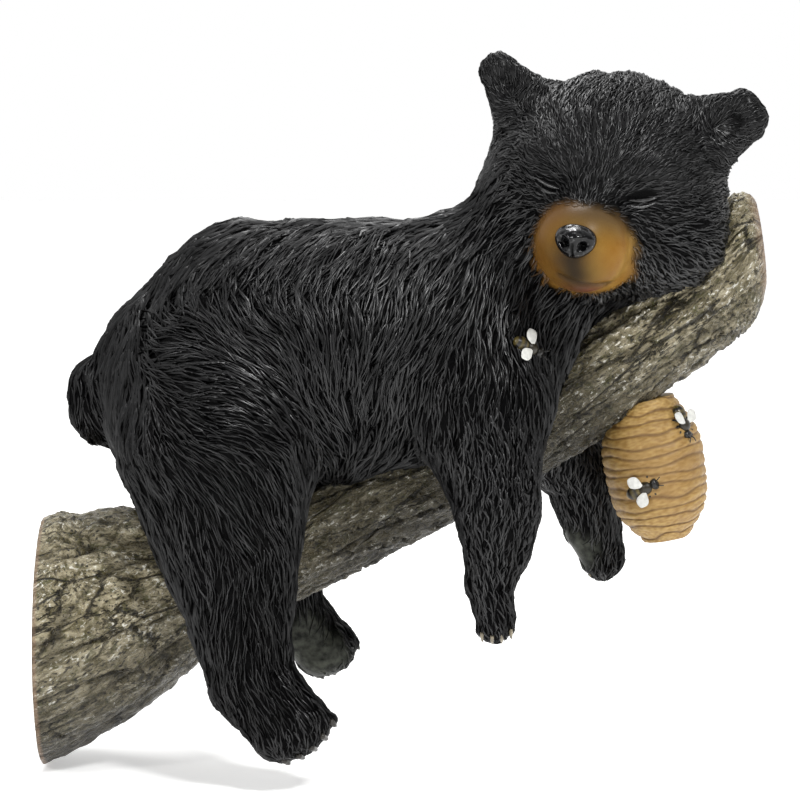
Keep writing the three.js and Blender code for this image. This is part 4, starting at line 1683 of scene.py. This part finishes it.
def makeHive():
    columns = hive["columns"]
    a = roundAngles(columns)
    turn = turnAbout("Y", hive["tilt"])

    def placed(points, level):
        points[:, 2] = hive["height"] * (level - 0.5)
        return points @ turn.T + hive["centre"]

    rings, grooves, tones = [], [], []
    outline = curveThrough(hive["barrel"], hive["rows"])
    for share, level in outline:
        around = np.stack([np.cos(a), np.sin(a)], 1) * hive["waveAround"]
        spots = np.column_stack([around, np.full(columns, level * hive["waveUp"])])
        sag = noiseAt(spots, 1.0) * hive["wave"]
        straw = noiseAt(spots * hive["strawFineness"], 1.0)
        coil = np.abs(np.sin(math.pi * (level * hive["coils"] + sag)))
        rise = hive["coilDepth"] * (coil ** hive["coilRoundness"] - hive["coilMiddle"])
        r = hive["radius"] * share + rise + hive["strawRise"] * straw
        rings.append(placed(np.stack([r * np.cos(a), r * np.sin(a), r], 1), level))
        grooves.append(1 - coil)
        tones.append(straw)
    ends = [placed(np.zeros((1, 3)), level)[0] for level in outline[[0, -1], 1]]
    points, faces = closedLoft(rings, *ends)
    end = [hive["endGroove"]]
    zones = {"groove": np.concatenate([end, np.ravel(grooves), end]),
             "straw": np.concatenate([[0], np.ravel(tones), [0]])}
    return joinSurfaces("hive_straw", [(points, faces, zones)])


def makeStrawPaint():
    material, tree, fine = newPaint("strawPaint", hive)
    broad = addSpeckle(tree, hive["broadSpeckle"])["Mottle"]
    straw = spread(tree, zone(tree, "straw"), *hive["strawRange"])
    colour = mixColours(tree, straw, hive["straw"], hive["paleStraw"])
    colour = mixColours(tree, spread(tree, broad, 0, hive["scorch"]), colour, hive["burnt"])
    groove = spread(tree, zone(tree, "groove"), *hive["grooveRange"])
    colour = mixColours(tree, groove, colour, hive["groove"])
    finishPaint(tree, hive, colour, fine["Mottle"], fine["Height"])
    return material


finishPiece(makeHive(), makeStrawPaint(), "straw", "beehive")
print("hive made")


# bees: banded bodies, pale wings, legs and feelers, in shares of a bee's length

bee = {
    "length": 17.0,
    "seat": 0.1,
    "rows": 14,
    "columns": 18,
    # centre, radii
    "abdomen": ((-0.32, 0, 0.0), (0.25, 0.19, 0.17)),
    "thorax": ((0, 0, 0.01), (0.2, 0.185, 0.175)),
    "head": ((0.27, 0, -0.01), (0.12, 0.155, 0.135)),
    "eye": ((0.3, 0.1, 0.03), (0.06, 0.05, 0.075)),
    "bands": 3.0,
    "bandEdge": (0.35, 0.65),
    "thoraxBand": 0.15,
    "feeler": [(0.34, 0.05, 0.06), (0.42, 0.08, 0.12), (0.52, 0.13, 0.1)],
    "feelerRadii": [0.018, 0.016, 0.012],
    # where each leg leaves the body and where its foot is, along the bee
    "legs": [(0.1, 0.26), (0.0, 0.02), (-0.1, -0.24)],
    # across and up, at body, knee and foot
    "legLine": [(0.12, -0.05), (0.26, 0.02), (0.33, -0.13)],
    "legRadii": [0.032, 0.028, 0.02],
    "tubeSides": 6,
    "wingRoot": (0.0, 0.05, 0.12),
    "wingLength": 0.48,
    "wingWidth": 0.17,
    "wingSpread": 50.0,
    "wingRise": 0.12,
    "wingThick": 0.022,
    "wingBow": 0.03,
    "wingOutline": (1.4, 0.7),
    "wingSteps": (0.04, 0.97, 12),
    "wingSides": 14,
    "speckle": (500.0, 2500.0),
    "roughness": (0.25, 0.45),
    "bump": (0.2, 0.0003),
    "stain": 0.25,
    "black": (0.008, 0.007, 0.006, 1),
    "olive": (0.1, 0.075, 0.02, 1),
    "wing": (0.72, 0.72, 0.68, 1),
    "slopeStep": 3.0,
    "leastStep": 0.05,
    # piece, node, what it sits on, a point in front of its place, the way its head points
    "perches": [
        ("bee_chest", "bee_on_chest", "bear", (222, -140, 139.5), (1, 0, -0.3)),
        ("bee_hive_top", "bee_on_hive_top", "hive", (293, -80, 101), (0.1, 0, -1)),
        ("bee_hive_side", "bee_on_hive_side", "hive", (277, -80, 74), (1, 0, 0.5)),
    ],
}


# the turn and the place of a bee on a form
def beeSeat(field, front, heading):
    met = meet(field, [front], (0, 1, 0), bee["leastStep"])
    out = unit(fieldSlope(field, met, bee["slopeStep"]))[0]
    heading = np.array(heading, float)
    ahead = unit(heading - out * (heading @ out))
    return np.stack([ahead, np.cross(out, ahead), out], 1), met[0] + out * bee["length"] * bee["seat"]


def wingSurface(side):
    angle = math.radians(180 - side * bee["wingSpread"])
    way = np.array([math.cos(angle), math.sin(angle), bee["wingRise"]])
    over = np.array([-way[1], way[0], 0])
    around = roundAngles(bee["wingSides"])
    root = np.array(bee["wingRoot"]) * (1, side, 1)
    skew, fullness = bee["wingOutline"]
    rings = []
    for s in np.linspace(*bee["wingSteps"]):
        wide = bee["wingWidth"] * math.sin(math.pi * s ** skew) ** fullness
        ring = root + way * s * bee["wingLength"] + np.outer(np.cos(around) * wide, over)
        ring[:, 2] += np.sin(around) * bee["wingThick"] + bee["wingBow"] * math.sin(math.pi * s)
        rings.append(ring)
    return closedLoft(rings, root, root + way * bee["wingLength"])


def makeBee(name, field, front, heading):
    def lump(part, side=1):
        (x, y, z), radii = bee[part]
        return ballSurface((x, side * y, z), radii, bee["rows"], bee["columns"])

    def tube(path, radii, side):
        return tubeSurface(np.array(path) * (1, side, 1), radii, bee["tubeSides"])

    abdomen = lump("abdomen")
    tail = abdomen[0][:, 0]
    band = wave((tail - tail.min()) / np.ptp(tail) * bee["bands"])
    surfaces = [
        (*abdomen, {"band": ramp(band, *bee["bandEdge"])}),
        (*lump("thorax"), {"band": bee["thoraxBand"]}),
        (*lump("head"), {}),
    ]
    for side in (-1, 1):
        surfaces.append((*lump("eye", side), {}))
        surfaces.append((*wingSurface(side), {"wing": 1.0}))
        surfaces.append((*tube(bee["feeler"], bee["feelerRadii"], side), {}))
        for start, end in bee["legs"]:
            along = (start, (start + end) / 2, end)
            path = [(x, y, z) for x, (y, z) in zip(along, bee["legLine"])]
            surfaces.append((*tube(path, bee["legRadii"], side), {}))
    turn, place = beeSeat(field, front, heading)
    placed = [(points * bee["length"] @ turn.T + place, faces, zones) for points, faces, zones in surfaces]
    return joinSurfaces(name, placed)


def makeBeePaint():
    material, tree, speckle = newPaint("beePaint", bee)
    colour = mixColours(tree, zone(tree, "band"), bee["black"], bee["olive"])
    colour = mixColours(tree, zone(tree, "wing"), colour, bee["wing"])
    colour = mixColours(tree, spread(tree, speckle["Mottle"], 0, bee["stain"]), colour, bee["black"])
    finishPaint(tree, bee, colour, speckle["Mottle"], speckle["Height"])
    return material


beePaint = makeBeePaint()
hiveRadii = (hive["radius"], hive["radius"], hive["height"] * hive["seatShare"])
seats = {"bear": bearField, "hive": ball(hive["centre"], hiveRadii, turnAbout("Y", hive["tilt"]))}
for pieceName, node, seat, front, heading in bee["perches"]:
    finishPiece(makeBee(pieceName, seats[seat], front, heading), beePaint, "bee", node)
print("bees made")
